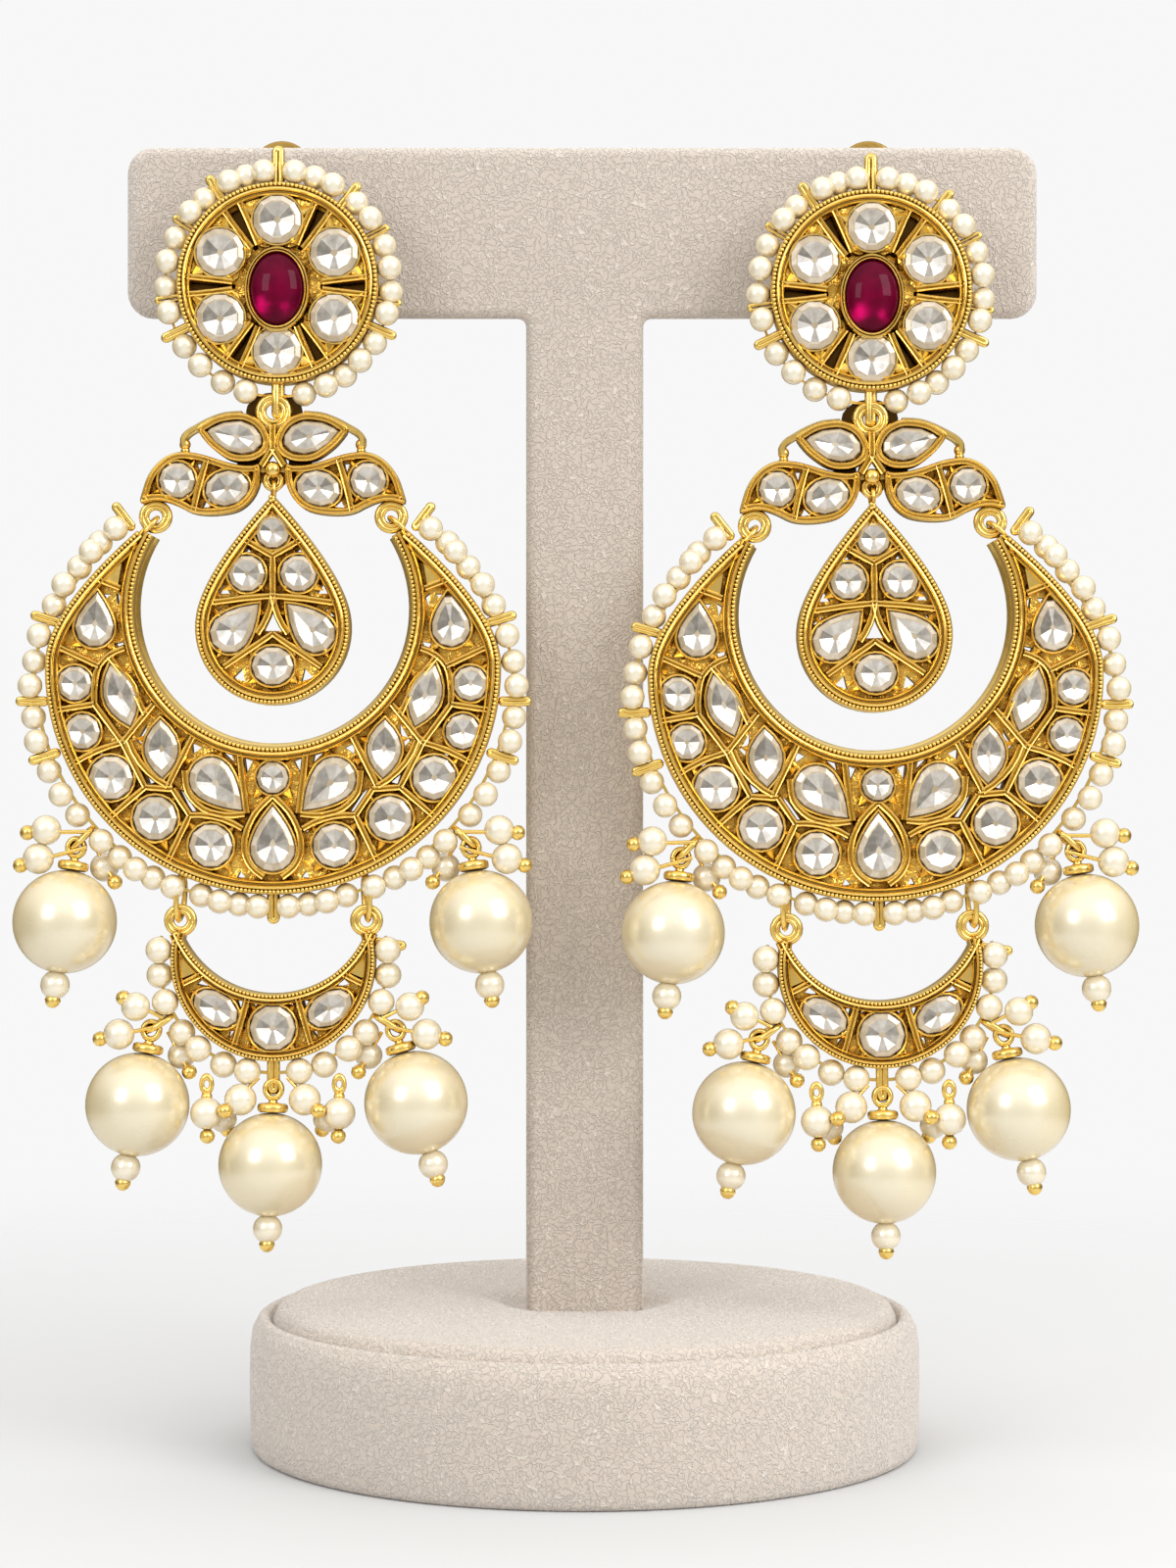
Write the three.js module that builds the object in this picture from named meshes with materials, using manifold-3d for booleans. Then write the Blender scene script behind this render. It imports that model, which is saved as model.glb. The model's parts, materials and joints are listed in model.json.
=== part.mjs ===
// Pair of chandbali earrings hanging from a velvet T-bar display stand.
// Millimetres, +Z up, the front faces -Y. The origin is the centre of the stand's underside.

import * as THREE from 'three';
import { mergeVertices } from 'three/addons/utils/BufferGeometryUtils.js';
import Module from 'manifold-3d';

const wasm = await Module();
wasm.setup();

// ---- Driving dimensions ----------------------------------------------------------------------

const GAP = 0.3;                  // clearance between separate pieces

// Stand
const BASE_RADIUS = 33.3;
const BASE_HEIGHT = 13.2;
const FOOT_RECESS = 8.2;          // radius of the shallow recess that takes the post
const FOOT_RECESS_DEPTH = 0.5;
const TEE_DEPTH = 10;
const TEE_EDGE = 0.8;             // rounding of the velvet edges
const POST_WIDTH = 11.6;
const BAR_WIDTH = 89.5;
const BAR_BOTTOM = 112.1;
const BAR_TOP = 128.7;
const BAR_CORNER = 1.7;

// Both earrings hang in one plane in front of the bar. The stud's lower loop carries the drop.
// Sway is the small turn with which a drop came to rest, and tilts are those of its five large
// pearls: two at the sides of the crescent, two low on the small crescent, and the lowest.
const HANG_Y = -11.5;
const LOOP_DROP = 11.1;           // stud centre down to the centre of its hanging loop
const PAIR = [
  { side: 'left', studX: -29.65, studZ: 114.2, loopShift: -0.45, sway: 0, tilts: [8, -8, 10, -16, 2] },
  { side: 'right', studX: 27.7, studZ: 113.5, loopShift: -0.05, sway: 1, tilts: [7, -7, 13, -10, 0] },
];

// Stud and its ear post
const STUD_RADIUS = 9.7;
const STUD_OPENING = 8.75;
const STUD_NOTCH = 2.1;           // half the break in the seed pearls at the hanging loop
const STUD_HALF = 1.4;            // half the depth of the rim
const PETAL_COUNT = 6;
const PETAL_CENTRE = 6.35;        // radius on which the petal stones sit
const PETAL_FRONT = -1.2;
const PETAL_BACK = 0.6;
const POLKI = { radius: 2.3, front: -1.7, back: -0.4 };
const RUBY = { x: 2.5, z: 3.35, front: -2.5, back: -0.6 };
const BEZEL_WALL = 0.4;
const BEZEL_FRONT = -1.7;
const STUD_LOOP = { r: 1.15, wire: 0.4 };
const POST_RADIUS = 0.5;
const PADDLE = { width: 6.4, thick: 0.9, below: 4, above: 0.6 };

// Seed pearls: one band along the outer edge of a setting, and small pearls on wires
const SEED = { reach: 2.3, half: 1 };
const WIRE = { fine: 0.28, loop: 0.33, ring: 0.45, stem: 0.22 };
const WIRE_SIDES = 3;
const RING_SIDES = 4;
const DANGLE_Y = -0.8;

// Leaf link
const LEAF = { front: -1.2, back: 1.0 };
const TOP_RING = 1.35;            // centreline radius of the ring that hangs on the stud
const SIDE_RING = { x: 11.3, z: -11.6, r: 1.12 };
const CENTRE_RING = { z: -7.95, r: 0.8 };

// Teardrop
const TEAR = { tipZ: -9.35, centreZ: -22.2, radius: 7.5, wall: 1.25 };
const TEAR_LOOP = 0.85;

// Main crescent: its gold edge, its band of seed pearls and the room inside its rim. Each runs
// from the horn by a bend to the outer circle, and back along an inner circle that starts at an
// angle above level. Grow and inner are added to the two radii.
const MOON = { outerZ: -26, outerR: 22, innerZ: -20.3, innerR: 13.4 };
const MOON_EDGE = { grow: 0, inner: 0, start: 31, horn: [13.1, -12.95], bend: [21.6, -21.6] };
const MOON_BAND = { grow: SEED.reach, inner: 0.4, start: 27, horn: [15.6, -11.3], bend: [24.1, -20.6] };
const MOON_ROOM = { grow: -1.25, inner: 1.25, start: 8, horn: [16.2, -18.2], bend: [20.1, -22.2] };
const HORN_LOOP = 1.1;
const HORN_HINGE = {
  x: SIDE_RING.x + SIDE_RING.r * Math.SQRT1_2,
  z: SIDE_RING.z - SIDE_RING.r * Math.SQRT1_2,
};
const LINK = { x: 9, z: -49.35, r: 0.95 };
const HOOK_RADIUS = 0.85;         // the loops that carry the large pearls
const SIDE_HOOK = { x: 18.5, z: -42.85, direction: 45 };

// Small crescent
const BOAT = { outerZ: -54.2, outerR: 9.9, innerZ: -47.9, innerR: 9.7 };
const BOAT_EDGE = { grow: 0, inner: 0, tipZ: -51.5 };
const BOAT_BAND = { grow: SEED.reach, inner: 0.4, tipZ: -51.8 };
const BOAT_ROOM = { grow: -0.95, inner: 0.95, tipZ: -54.6 };
const BOAT_RING = 1.15;
const LOW_HOOK = { x: 11.1, z: -60.7, direction: 31 };
const LAST_HOOK = { x: 0, z: -66, direction: 90 };
const LAST_NOTCH = 1.4;           // half the break in the seed pearls at the lowest loop

// Settings: a rim, and a pierced plate sunk behind it that carries the stones
const WALL_HALF = 1.5;
const PLATE_FRONT = -0.7;
const STONE_FRONT = -1.4;
const TABLE = 0.55;               // a stone's table, as a share of its girdle
const STONE_SIDES = 6;
const LARGE_BACK = 0.1;           // back of the crescent's three large stones

// Large pearls and their head pins: heights along the pin from the middle of the pearl
const PEARL_RADIUS = 5;
const PEARL_SIDES = 7;
const BORE = 0.55;
const SHAFT = 0.25;
const EYE = { along: 7.25, r: 0.85 };
const CAP = { bottom: 5.15, top: 6.75, radius: 1.45 };
const END_PEARL = { centre: -6.15, radius: 1.4, half: 0.95 };
const END_BALL = { centre: -7.65, radius: 0.8 };

// ---- Finishes --------------------------------------------------------------------------------

const velvet = new THREE.MeshStandardMaterial({ color: 0xd6cdc3, roughness: 0.95, metalness: 0 });
const gold = new THREE.MeshStandardMaterial({ color: 0xc8962c, roughness: 0.28, metalness: 1 });
const nacre = new THREE.MeshStandardMaterial({ color: 0xe9dcb4, roughness: 0.2, metalness: 0 });
const rubyRed = new THREE.MeshStandardMaterial({ color: 0x7c0026, roughness: 0.08, metalness: 0 });
const glass = new THREE.MeshStandardMaterial({ color: 0xd9d6d2, roughness: 0.06, metalness: 0 });

// ---- Solids ----------------------------------------------------------------------------------

const rad = THREE.MathUtils.degToRad;

// A closed geometry as a solid: shared vertices are merged and empty triangles left out.
function solid(geometry) {
  const bare = geometry.clone();
  bare.deleteAttribute('normal');
  bare.deleteAttribute('uv');
  const merged = mergeVertices(bare, 1e-4);
  const corners = merged.index.array;
  const kept = [];
  for (let i = 0; i < corners.length; i += 3) {
    const [a, b, c] = corners.slice(i, i + 3);
    if (a !== b && b !== c && c !== a) kept.push(a, b, c);
  }
  return new wasm.Manifold(new wasm.Mesh({
    numProp: 3,
    vertProperties: new Float32Array(merged.attributes.position.array),
    triVerts: new Uint32Array(kept),
  }));
}

const join = (parts) => parts.reduce((whole, part) => whole.add(part));
const cut = (whole, cutters) => cutters.reduce((rest, cutter) => rest.subtract(cutter), whole);

function node(name, shape, material) {
  const mesh = shape.getMesh();
  const geometry = new THREE.BufferGeometry();
  geometry.setAttribute('position', new THREE.BufferAttribute(mesh.vertProperties, 3));
  geometry.setIndex(new THREE.BufferAttribute(mesh.triVerts, 1));
  geometry.computeVertexNormals();
  const part = new THREE.Mesh(geometry, material.clone());
  part.name = name;
  return part;
}

// A flat piece: a shape drawn in X and Z, with a front and a back depth in Y.
function slabGeometry(shape, front, back, curveSegments) {
  return new THREE.ExtrudeGeometry(shape, { depth: back - front, bevelEnabled: false, curveSegments })
    .rotateX(Math.PI / 2)
    .translate(0, back, 0);
}

function slab(shape, front, back, curveSegments = 1) {
  return solid(slabGeometry(shape, front, back, curveSegments));
}

const polygon = (points) => new THREE.Shape(points.map(([x, z]) => new THREE.Vector2(x, z)));
const mirror = (points) => points.map(([x, z]) => [-x, z]).reverse();
const bothSides = (outlines) => outlines.flatMap((points) => [points, mirror(points)]);

// A ring in the hang plane.
function flatRing(x, z, radius, wire, steps = 8) {
  const sides = wire < WIRE.ring ? WIRE_SIDES : RING_SIDES;
  return solid(new THREE.TorusGeometry(radius, wire, sides, steps)
    .rotateX(Math.PI / 2)
    .translate(x, 0, z));
}

// A ring on edge: it lies along Y and along a direction of the hang plane, in degrees above +X.
function edgeRing(x, z, radius, wire, direction = 90, steps = 8) {
  return solid(new THREE.TorusGeometry(radius, wire, WIRE_SIDES, steps)
    .rotateY(-rad(direction))
    .translate(x, 0, z));
}

// A square bar between two points of the hang plane.
function bar([x0, z0], [x1, z1], width, front, back) {
  return solid(new THREE.BoxGeometry(Math.hypot(x1 - x0, z1 - z0), back - front, width)
    .rotateY(-Math.atan2(z1 - z0, x1 - x0))
    .translate((x0 + x1) / 2, (front + back) / 2, (z0 + z1) / 2));
}

function turned(profile, sides) {
  return solid(new THREE.LatheGeometry(profile.map(([r, y]) => new THREE.Vector2(r, y)), sides));
}

function circle(x, z, radius) {
  const shape = new THREE.Shape();
  shape.absarc(x, z, radius, 0, 2 * Math.PI, false);
  return shape;
}

function oval(x, z, halfX, halfZ, turn = 0) {
  const shape = new THREE.Shape();
  shape.absellipse(x, z, halfX, halfZ, 0, 2 * Math.PI, false, rad(turn));
  return shape;
}

// A pear, round about (cx, cz) with radius r and drawn out to a point at (tx, tz). Its sides
// leave the round end at the shoulder and meet in the tip at twice the tip angle.
function pear([cx, cz, r, tx, tz], shoulder = 10, tipAngle = 40) {
  const length = Math.hypot(tx - cx, tz - cz);
  const turn = Math.atan2(tz - cz, tx - cx) - Math.PI / 2;
  const [s, t] = [rad(shoulder), rad(tipAngle)];
  const reach = (length * Math.sin(t) - r * Math.cos(s - t)) / Math.sin(t - s);
  const place = (x, y) => [
    cx + x * Math.cos(turn) - y * Math.sin(turn),
    cz + x * Math.sin(turn) + y * Math.cos(turn),
  ];
  const [startX, startY] = [r * Math.cos(s), r * Math.sin(s)];
  const [bendX, bendY] = [startX - reach * Math.sin(s), startY + reach * Math.cos(s)];
  const shape = new THREE.Shape();
  shape.moveTo(tx, tz);
  shape.quadraticCurveTo(...place(-bendX, bendY), ...place(-startX, startY));
  shape.absarc(cx, cz, r, turn + Math.PI - s, turn + 2 * Math.PI + s, false);
  shape.quadraticCurveTo(...place(bendX, bendY), tx, tz);
  return shape;
}

// A marquise: two bowed sides between two tips.
function marquise([x0, z0, x1, z1, half]) {
  const length = Math.hypot(x1 - x0, z1 - z0);
  const [nx, nz] = [(z0 - z1) / length, (x1 - x0) / length];
  const [midX, midZ] = [(x0 + x1) / 2, (z0 + z1) / 2];
  const shape = new THREE.Shape();
  shape.moveTo(x0, z0);
  shape.quadraticCurveTo(midX - 2 * half * nx, midZ - 2 * half * nz, x1, z1);
  shape.quadraticCurveTo(midX + 2 * half * nx, midZ + 2 * half * nz, x0, z0);
  return shape;
}

// A set stone: its girdle outline at the back, tapering forward to its table.
function gem(shape, front, back, curveSegments) {
  const geometry = slabGeometry(shape, front, back, curveSegments);
  geometry.computeBoundingBox();
  const middle = geometry.boundingBox.getCenter(new THREE.Vector3());
  const place = geometry.attributes.position;
  for (let i = 0; i < place.count; i += 1) {
    if (Math.abs(place.getY(i) - front) < 1e-6) {
      place.setX(i, middle.x + (place.getX(i) - middle.x) * TABLE);
      place.setZ(i, middle.z + (place.getZ(i) - middle.z) * TABLE);
    }
  }
  return solid(geometry);
}

// A setting of gold, hollowed behind its rim from the front and pierced, with the band of seed
// pearls that runs along its outer edge.
function setting({ edge, room, band, gaps, segments }) {
  const whole = [slab(edge, -WALL_HALF, WALL_HALF, segments)];
  if (band) whole.push(slab(band, -SEED.half, SEED.half, segments));
  const through = WALL_HALF + 1;
  return cut(join(whole), [
    slab(room, -through, PLATE_FRONT, segments),
    ...gaps.map((points) => slab(polygon(points), -through, through)),
  ]);
}

const round = (x, z, radius) => gem(circle(x, z, radius), STONE_FRONT, 0, STONE_SIDES / 2);

// A hanging loop on edge at the outer rim of a crescent, on the left (-1) or right (1) side.
function hook({ x, z, direction }, side) {
  return edgeRing(side * x, z, HOOK_RADIUS, WIRE.fine, side > 0 ? 180 - direction : direction, 5);
}

// A small pearl that dangles on a wire in front of the large ones.
function dangle({ fromX, fromZ, x, z, r }, side) {
  const [dx, dz] = [x - fromX, z - fromZ];
  const length = Math.hypot(dx, dz);
  return turned([[0, -r], [r, 0], [WIRE.stem, r], [WIRE.stem, length], [0, length]], 4)
    .rotate([90, 0, 0])
    .rotate([0, THREE.MathUtils.radToDeg(side * Math.atan2(-dx, -dz)), 0])
    .translate([side * x, DANGLE_Y, z]);
}

// ---- Stand -----------------------------------------------------------------------------------

function standBase() {
  const floor = BASE_HEIGHT - FOOT_RECESS_DEPTH;
  return turned([
    [0, 0],
    [BASE_RADIUS - 1, 0],
    [BASE_RADIUS, 1],
    [BASE_RADIUS, BASE_HEIGHT - 1],
    [BASE_RADIUS - 0.7, BASE_HEIGHT],
    [FOOT_RECESS, BASE_HEIGHT],
    [FOOT_RECESS, floor],
    [0, floor],
  ], 24).rotate([90, 0, 0]);
}

function standTee() {
  const [halfBar, halfPost] = [BAR_WIDTH / 2 - TEE_EDGE, POST_WIDTH / 2 - TEE_EDGE];
  const foot = BASE_HEIGHT - FOOT_RECESS_DEPTH + GAP;
  const [under, over] = [BAR_BOTTOM + TEE_EDGE, BAR_TOP - TEE_EDGE];
  const corner = BAR_CORNER;
  const shape = new THREE.Shape();
  shape.moveTo(-halfPost, foot);
  shape.lineTo(halfPost, foot);
  shape.lineTo(halfPost, under);
  shape.lineTo(halfBar - corner, under);
  shape.quadraticCurveTo(halfBar, under, halfBar, under + corner);
  shape.lineTo(halfBar, over - corner);
  shape.quadraticCurveTo(halfBar, over, halfBar - corner, over);
  shape.lineTo(corner - halfBar, over);
  shape.quadraticCurveTo(-halfBar, over, -halfBar, over - corner);
  shape.lineTo(-halfBar, under + corner);
  shape.quadraticCurveTo(-halfBar, under, corner - halfBar, under);
  shape.lineTo(-halfPost, under);
  const rounded = solid(new THREE.ExtrudeGeometry(shape, {
    depth: TEE_DEPTH - 2 * TEE_EDGE,
    bevelThickness: TEE_EDGE,
    bevelSize: TEE_EDGE,
    bevelSegments: 1,
    curveSegments: 2,
  }).rotateX(Math.PI / 2).translate(0, TEE_DEPTH / 2 - TEE_EDGE, 0));
  const bores = PAIR.map(({ studX, studZ }) => (
    slab(circle(studX, studZ, POST_RADIUS + GAP), -TEE_DEPTH, TEE_DEPTH, 3)));
  const underFoot = slab(polygon([[-20, 0], [20, 0], [20, foot], [-20, foot]]), -TEE_DEPTH, TEE_DEPTH);
  return cut(rounded, [...bores, underFoot]);
}

// ---- Stud: origin at its centre --------------------------------------------------------------

// The slit between two petals: across, and out from the middle of the stud.
const SLIT = [[-0.2, 5.7], [0.2, 5.7], [1.7, 8.5], [-1.7, 8.5]];

function studFrame(loopShift) {
  const outer = STUD_RADIUS + SEED.reach;
  const rim = turned([
    [STUD_OPENING, -STUD_HALF],
    [STUD_RADIUS, -STUD_HALF],
    [outer, -SEED.half],
    [outer, SEED.half],
    [STUD_RADIUS, STUD_HALF],
    [STUD_OPENING, STUD_HALF],
    [STUD_OPENING, -STUD_HALF],
  ], 20);
  const notch = bar([0, -STUD_RADIUS - 0.1], [0, -outer - 1], 2 * STUD_NOTCH, -STUD_HALF, STUD_HALF);
  const petals = circle(0, 0, STUD_OPENING + 0.3);
  const middle = new THREE.Vector2();
  for (let i = 0; i < PETAL_COUNT; i += 1) {
    const turn = (i + 0.5) * 2 * Math.PI / PETAL_COUNT;
    const slit = SLIT.map(([x, z]) => new THREE.Vector2(x, z).rotateAround(middle, turn));
    petals.holes.push(new THREE.Path(slit));
  }
  const plate = slab(petals, PETAL_FRONT, PETAL_BACK, 10);
  const [bezelX, bezelZ] = [RUBY.x + GAP + BEZEL_WALL, RUBY.z + GAP + BEZEL_WALL];
  const bezel = slab(oval(0, 0, bezelX, bezelZ), BEZEL_FRONT, PETAL_BACK - 0.2, 4);
  const pocket = slab(oval(0, 0, RUBY.x + GAP, RUBY.z + GAP), BEZEL_FRONT - 1, RUBY.back + GAP, 4);
  const hole = circle(0, PETAL_CENTRE, POLKI.radius + GAP);
  const seat = slab(hole, PETAL_FRONT - 1, POLKI.back + GAP, STONE_SIDES / 2);
  const seats = Array.from({ length: PETAL_COUNT }, (_, i) => seat.rotate([0, i * 360 / PETAL_COUNT, 0]));
  return join([
    cut(join([cut(rim, [notch]), plate, bezel]), [pocket, ...seats]),
    edgeRing(loopShift, -LOOP_DROP, STUD_LOOP.r, STUD_LOOP.wire),
  ]);
}

// The hidden pin through the bar, with the clip paddle that stands behind it.
function earPost(studZ) {
  const paddleFront = TEE_DEPTH / 2 + GAP - HANG_Y;
  const [low, high] = [-PADDLE.below, BAR_TOP + PADDLE.above - studZ];
  const half = PADDLE.width / 2;
  const outline = new THREE.Shape();
  outline.moveTo(half, high - half);
  outline.absarc(0, high - half, half, 0, Math.PI, false);
  outline.lineTo(-half, low + half);
  outline.absarc(0, low + half, half, Math.PI, 2 * Math.PI, false);
  const pin = slab(circle(0, 0, POST_RADIUS), PETAL_BACK + GAP, paddleFront + PADDLE.thick / 2, 3);
  return join([pin, slab(outline, paddleFront, paddleFront + PADDLE.thick, 3)]);
}

// ---- Drop: origin at the middle of the stud's hanging loop ------------------------------------

// Outlines of the left half of the leaf: its wing from the inner top corner round over the outer
// tip, and the stem that curls over its upper petal.
const WING = [
  [-1.5, -5.9], [-4.6, -6.5], [-8.9, -5.1], [-11.7, -7], [-12.6, -10.1], [-9.3, -10.6],
  [-7.4, -11], [-4.6, -11.2], [-2.6, -9.7], [-1.9, -7.9],
];
const LEAF_STEM = [[-6.6, -2.8], [-8.2, -2.9], [-9.1, -4.1], [-9, -5.4], [-8.1, -5.4], [-8, -4]];
const LEAF_PETAL = { x: 2.75, z: -3.85, r: 2.1, tipX: 7.4, tipZ: -3.1 };
const LEAF_STONES = [
  { x: 2.6, z: -4, halfX: 1.6, halfZ: 1.5, turn: 0 },
  { x: 9.1, z: -8, halfX: 1.7, halfZ: 1.7, turn: 0 },
  { x: 4.75, z: -8.65, halfX: 2.15, halfZ: 1.7, turn: 20 },
];

function leafLink() {
  const halves = [-1, 1].flatMap((side) => {
    const flip = (points) => (side < 0 ? points : mirror(points));
    const { x, z, r, tipX, tipZ } = LEAF_PETAL;
    return [
      slab(pear([side * x, z, r, side * tipX, tipZ]), LEAF.front, LEAF.back, 2),
      slab(polygon(flip(WING)), LEAF.front, LEAF.back),
      slab(polygon(flip(LEAF_STEM)), -0.6, 0.6),
      ...LEAF_STONES.map((stone) => gem(
        oval(side * stone.x, stone.z, stone.halfX, stone.halfZ, -side * stone.turn),
        LEAF.front - 0.5,
        0,
        STONE_SIDES / 2,
      )),
      flatRing(side * SIDE_RING.x, SIDE_RING.z, SIDE_RING.r, WIRE.ring),
    ];
  });
  return join([
    ...halves,
    bar([0, -2.6], [0, -7.6], 1.7, -0.8, 0.8),
    bar([-1.9, -6.7], [1.9, -6.7], 0.9, -0.6, 0.6),
    flatRing(0, -TOP_RING, TOP_RING, WIRE.ring),
    flatRing(0, CENTRE_RING.z, CENTRE_RING.r, WIRE.fine, 6),
  ]);
}

const TEAR_PEARS = [{ x: 4.1, z: -22.9, r: 1.85, tipX: 1.7, tipZ: -19.9 }];
const TEAR_ROUNDS = [[0, -12.95, 1.7], [-2.6, -17, 1.8], [2.6, -17, 1.8], [0, -25.9, 2]];
const TEAR_GAPS = [
  [[0, -20.1], [-1, -22.4], [1, -22.4]],
  ...bothSides([
    [[-3.3, -15.4], [-2.8, -14.2], [-2, -14.9]],
    [[-5.5, -18.9], [-4.9, -17.6], [-4.1, -18.9]],
    [[-3.1, -26], [-3.7, -27], [-2.6, -27.4]],
  ]),
];

function teardrop() {
  const { tipZ, centreZ, radius, wall } = TEAR;
  const pears = TEAR_PEARS.flatMap(({ x, z, r, tipX, tipZ: endZ }) => [-1, 1].map((side) => (
    gem(pear([side * x, z, r, side * tipX, endZ]), STONE_FRONT, 0, 2))));
  return join([
    setting({
      edge: pear([0, centreZ, radius, 0, tipZ], 10, 42),
      room: pear([0, centreZ, radius - wall, 0, tipZ - 1.75 * wall], 10, 42),
      gaps: TEAR_GAPS,
      segments: 4,
    }),
    ...pears,
    ...TEAR_ROUNDS.map(([x, z, radiusOfStone]) => round(x, z, radiusOfStone)),
    edgeRing(0, CENTRE_RING.z - CENTRE_RING.r, TEAR_LOOP, WIRE.fine),
  ]);
}

// One outline of the crescent: its edge, its band of seed pearls or its room.
function moonShape({ grow, inner, start, horn: [hornX, hornZ], bend: [bendX, bendZ] }) {
  const { outerZ, outerR, innerZ, innerR } = MOON;
  const shape = new THREE.Shape();
  shape.moveTo(-hornX, hornZ);
  shape.quadraticCurveTo(-bendX, bendZ, -outerR - grow, outerZ);
  shape.absarc(0, outerZ, outerR + grow, Math.PI, 2 * Math.PI, false);
  shape.quadraticCurveTo(bendX, bendZ, hornX, hornZ);
  shape.absarc(0, innerZ, innerR + inner, rad(start), rad(180 - start), true);
  return shape;
}

const MOON_PEARS = [{ x: 17.3, z: -22.5, r: 1.7, tipX: 17, tipZ: -18.9 }];
const MOON_MARQUISES = [
  { fromX: 15.3, fromZ: -25.8, toX: 14.3, toZ: -31.5, half: 1.6 },
  { fromX: 11.3, fromZ: -31.3, toX: 10.6, toZ: -36.5, half: 1.6 },
];
const MOON_ROUNDS = [
  [-19, -27.6, 1.6],
  [-18.2, -32.2, 1.75],
  [-15.6, -36.7, 2.1],
  [-11.3, -40.6, 2.1],
  [-6.2, -43.1, 2.1],
];
const LARGE_STONES = [
  { x: 0, z: -43.6, r: 2.1, tipX: 0, tipZ: -39.5 },
  { x: -5.95, z: -36.8, r: 2, tipX: -3, tipZ: -39.7 },
  { x: 5.95, z: -36.8, r: 2, tipX: 3, tipZ: -39.7 },
];
const MOON_GAPS = bothSides([
  [[-15.7, -19.3], [-15.1, -19.5], [-15.2, -21.2]],
  [[-19.6, -24.4], [-18.6, -24.6], [-19.9, -25.4]],
  [[-12.7, -31.4], [-13.3, -32.9], [-12.6, -34]],
  [[-9.2, -33.2], [-8.1, -33.7], [-8.5, -35]],
  [[-12.9, -36.8], [-11.7, -37.8], [-13, -38.3]],
  [[-8.8, -38.6], [-8.5, -40], [-7.2, -40.4]],
  [[-3.4, -35.3], [-2, -35.6], [-2.8, -36.7]],
  [[-3.6, -41.4], [-2.4, -41.4], [-3.4, -42.2]],
]);
const MOON_DANGLES = [
  { fromX: 17.4, fromZ: -41.6, x: 21.9, z: -41.7, r: 1.4 },
  { fromX: 17.4, fromZ: -41.6, x: 22.9, z: -44.2, r: 1.4 },
];

function crescent() {
  const halves = [-1, 1].flatMap((side) => [
    ...MOON_PEARS.map(({ x, z, r, tipX, tipZ }) => (
      gem(pear([side * x, z, r, side * tipX, tipZ]), STONE_FRONT, 0, 2))),
    ...MOON_MARQUISES.map(({ fromX, fromZ, toX, toZ, half }) => (
      gem(marquise([side * fromX, fromZ, side * toX, toZ, half]), STONE_FRONT, 0, 3))),
    ...MOON_ROUNDS.map(([x, z, radius]) => round(-side * x, z, radius)),
    edgeRing(side * HORN_HINGE.x, HORN_HINGE.z, HORN_LOOP, WIRE.fine, 90 + side * 45),
    edgeRing(side * LINK.x, LINK.z, LINK.r, WIRE.loop),
    hook(SIDE_HOOK, side),
    ...MOON_DANGLES.map((row) => dangle(row, side)),
  ]);
  const seats = LARGE_STONES.map((stone) => (
    slab(pear(stoneOutline(stone, GAP)), -WALL_HALF, LARGE_BACK + GAP, 2)));
  return join([
    cut(setting({
      edge: moonShape(MOON_EDGE),
      room: moonShape(MOON_ROOM),
      band: moonShape(MOON_BAND),
      gaps: MOON_GAPS,
      segments: 5,
    }), seats),
    round(0, -36.7, 1.6),
    ...halves,
  ]);
}

// The outline of a pear stone, or of the seat that takes it with some room.
function stoneOutline({ x, z, r, tipX, tipZ }, room = 0) {
  const stretch = 1 + 2 * room / Math.hypot(tipX - x, tipZ - z);
  return [x, z, r + room, x + (tipX - x) * stretch, z + (tipZ - z) * stretch];
}

// One outline of the small crescent: two circles that meet at its tips.
function boatShape({ grow, inner, tipZ }) {
  const { outerZ, outerR, innerZ, innerR } = BOAT;
  const outerStart = Math.asin((tipZ - outerZ) / (outerR + grow));
  const innerStart = Math.asin((tipZ - innerZ) / (innerR + inner));
  const shape = new THREE.Shape();
  shape.absarc(0, outerZ, outerR + grow, Math.PI - outerStart, 2 * Math.PI + outerStart, false);
  shape.absarc(0, innerZ, innerR + inner, 2 * Math.PI + innerStart, Math.PI - innerStart, true);
  return shape;
}

const BOAT_STONES = [
  { x: -5.6, z: -59.2, halfX: 2, halfZ: 1.6, turn: -38 },
  { x: 0, z: -60.8, halfX: 2.1, halfZ: 2.1, turn: 0 },
  { x: 5.6, z: -59.2, halfX: 2, halfZ: 1.6, turn: 38 },
];
const BOAT_GAPS = bothSides([
  [[-7.9, -56.9], [-7.3, -56], [-6.9, -56.8]],
  [[-3.3, -59.3], [-2.7, -59.2], [-3, -60.4]],
]);
const BOAT_DANGLES = [
  { fromX: 10.2, fromZ: -59.6, x: 13.2, z: -58.8, r: 1.35 },
  { fromX: 10.2, fromZ: -59.6, x: 15, z: -61.3, r: 1.4 },
  { fromX: 6.2, fromZ: -63.8, x: 6.3, z: -69.3, r: 1.4 },
];

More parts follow.
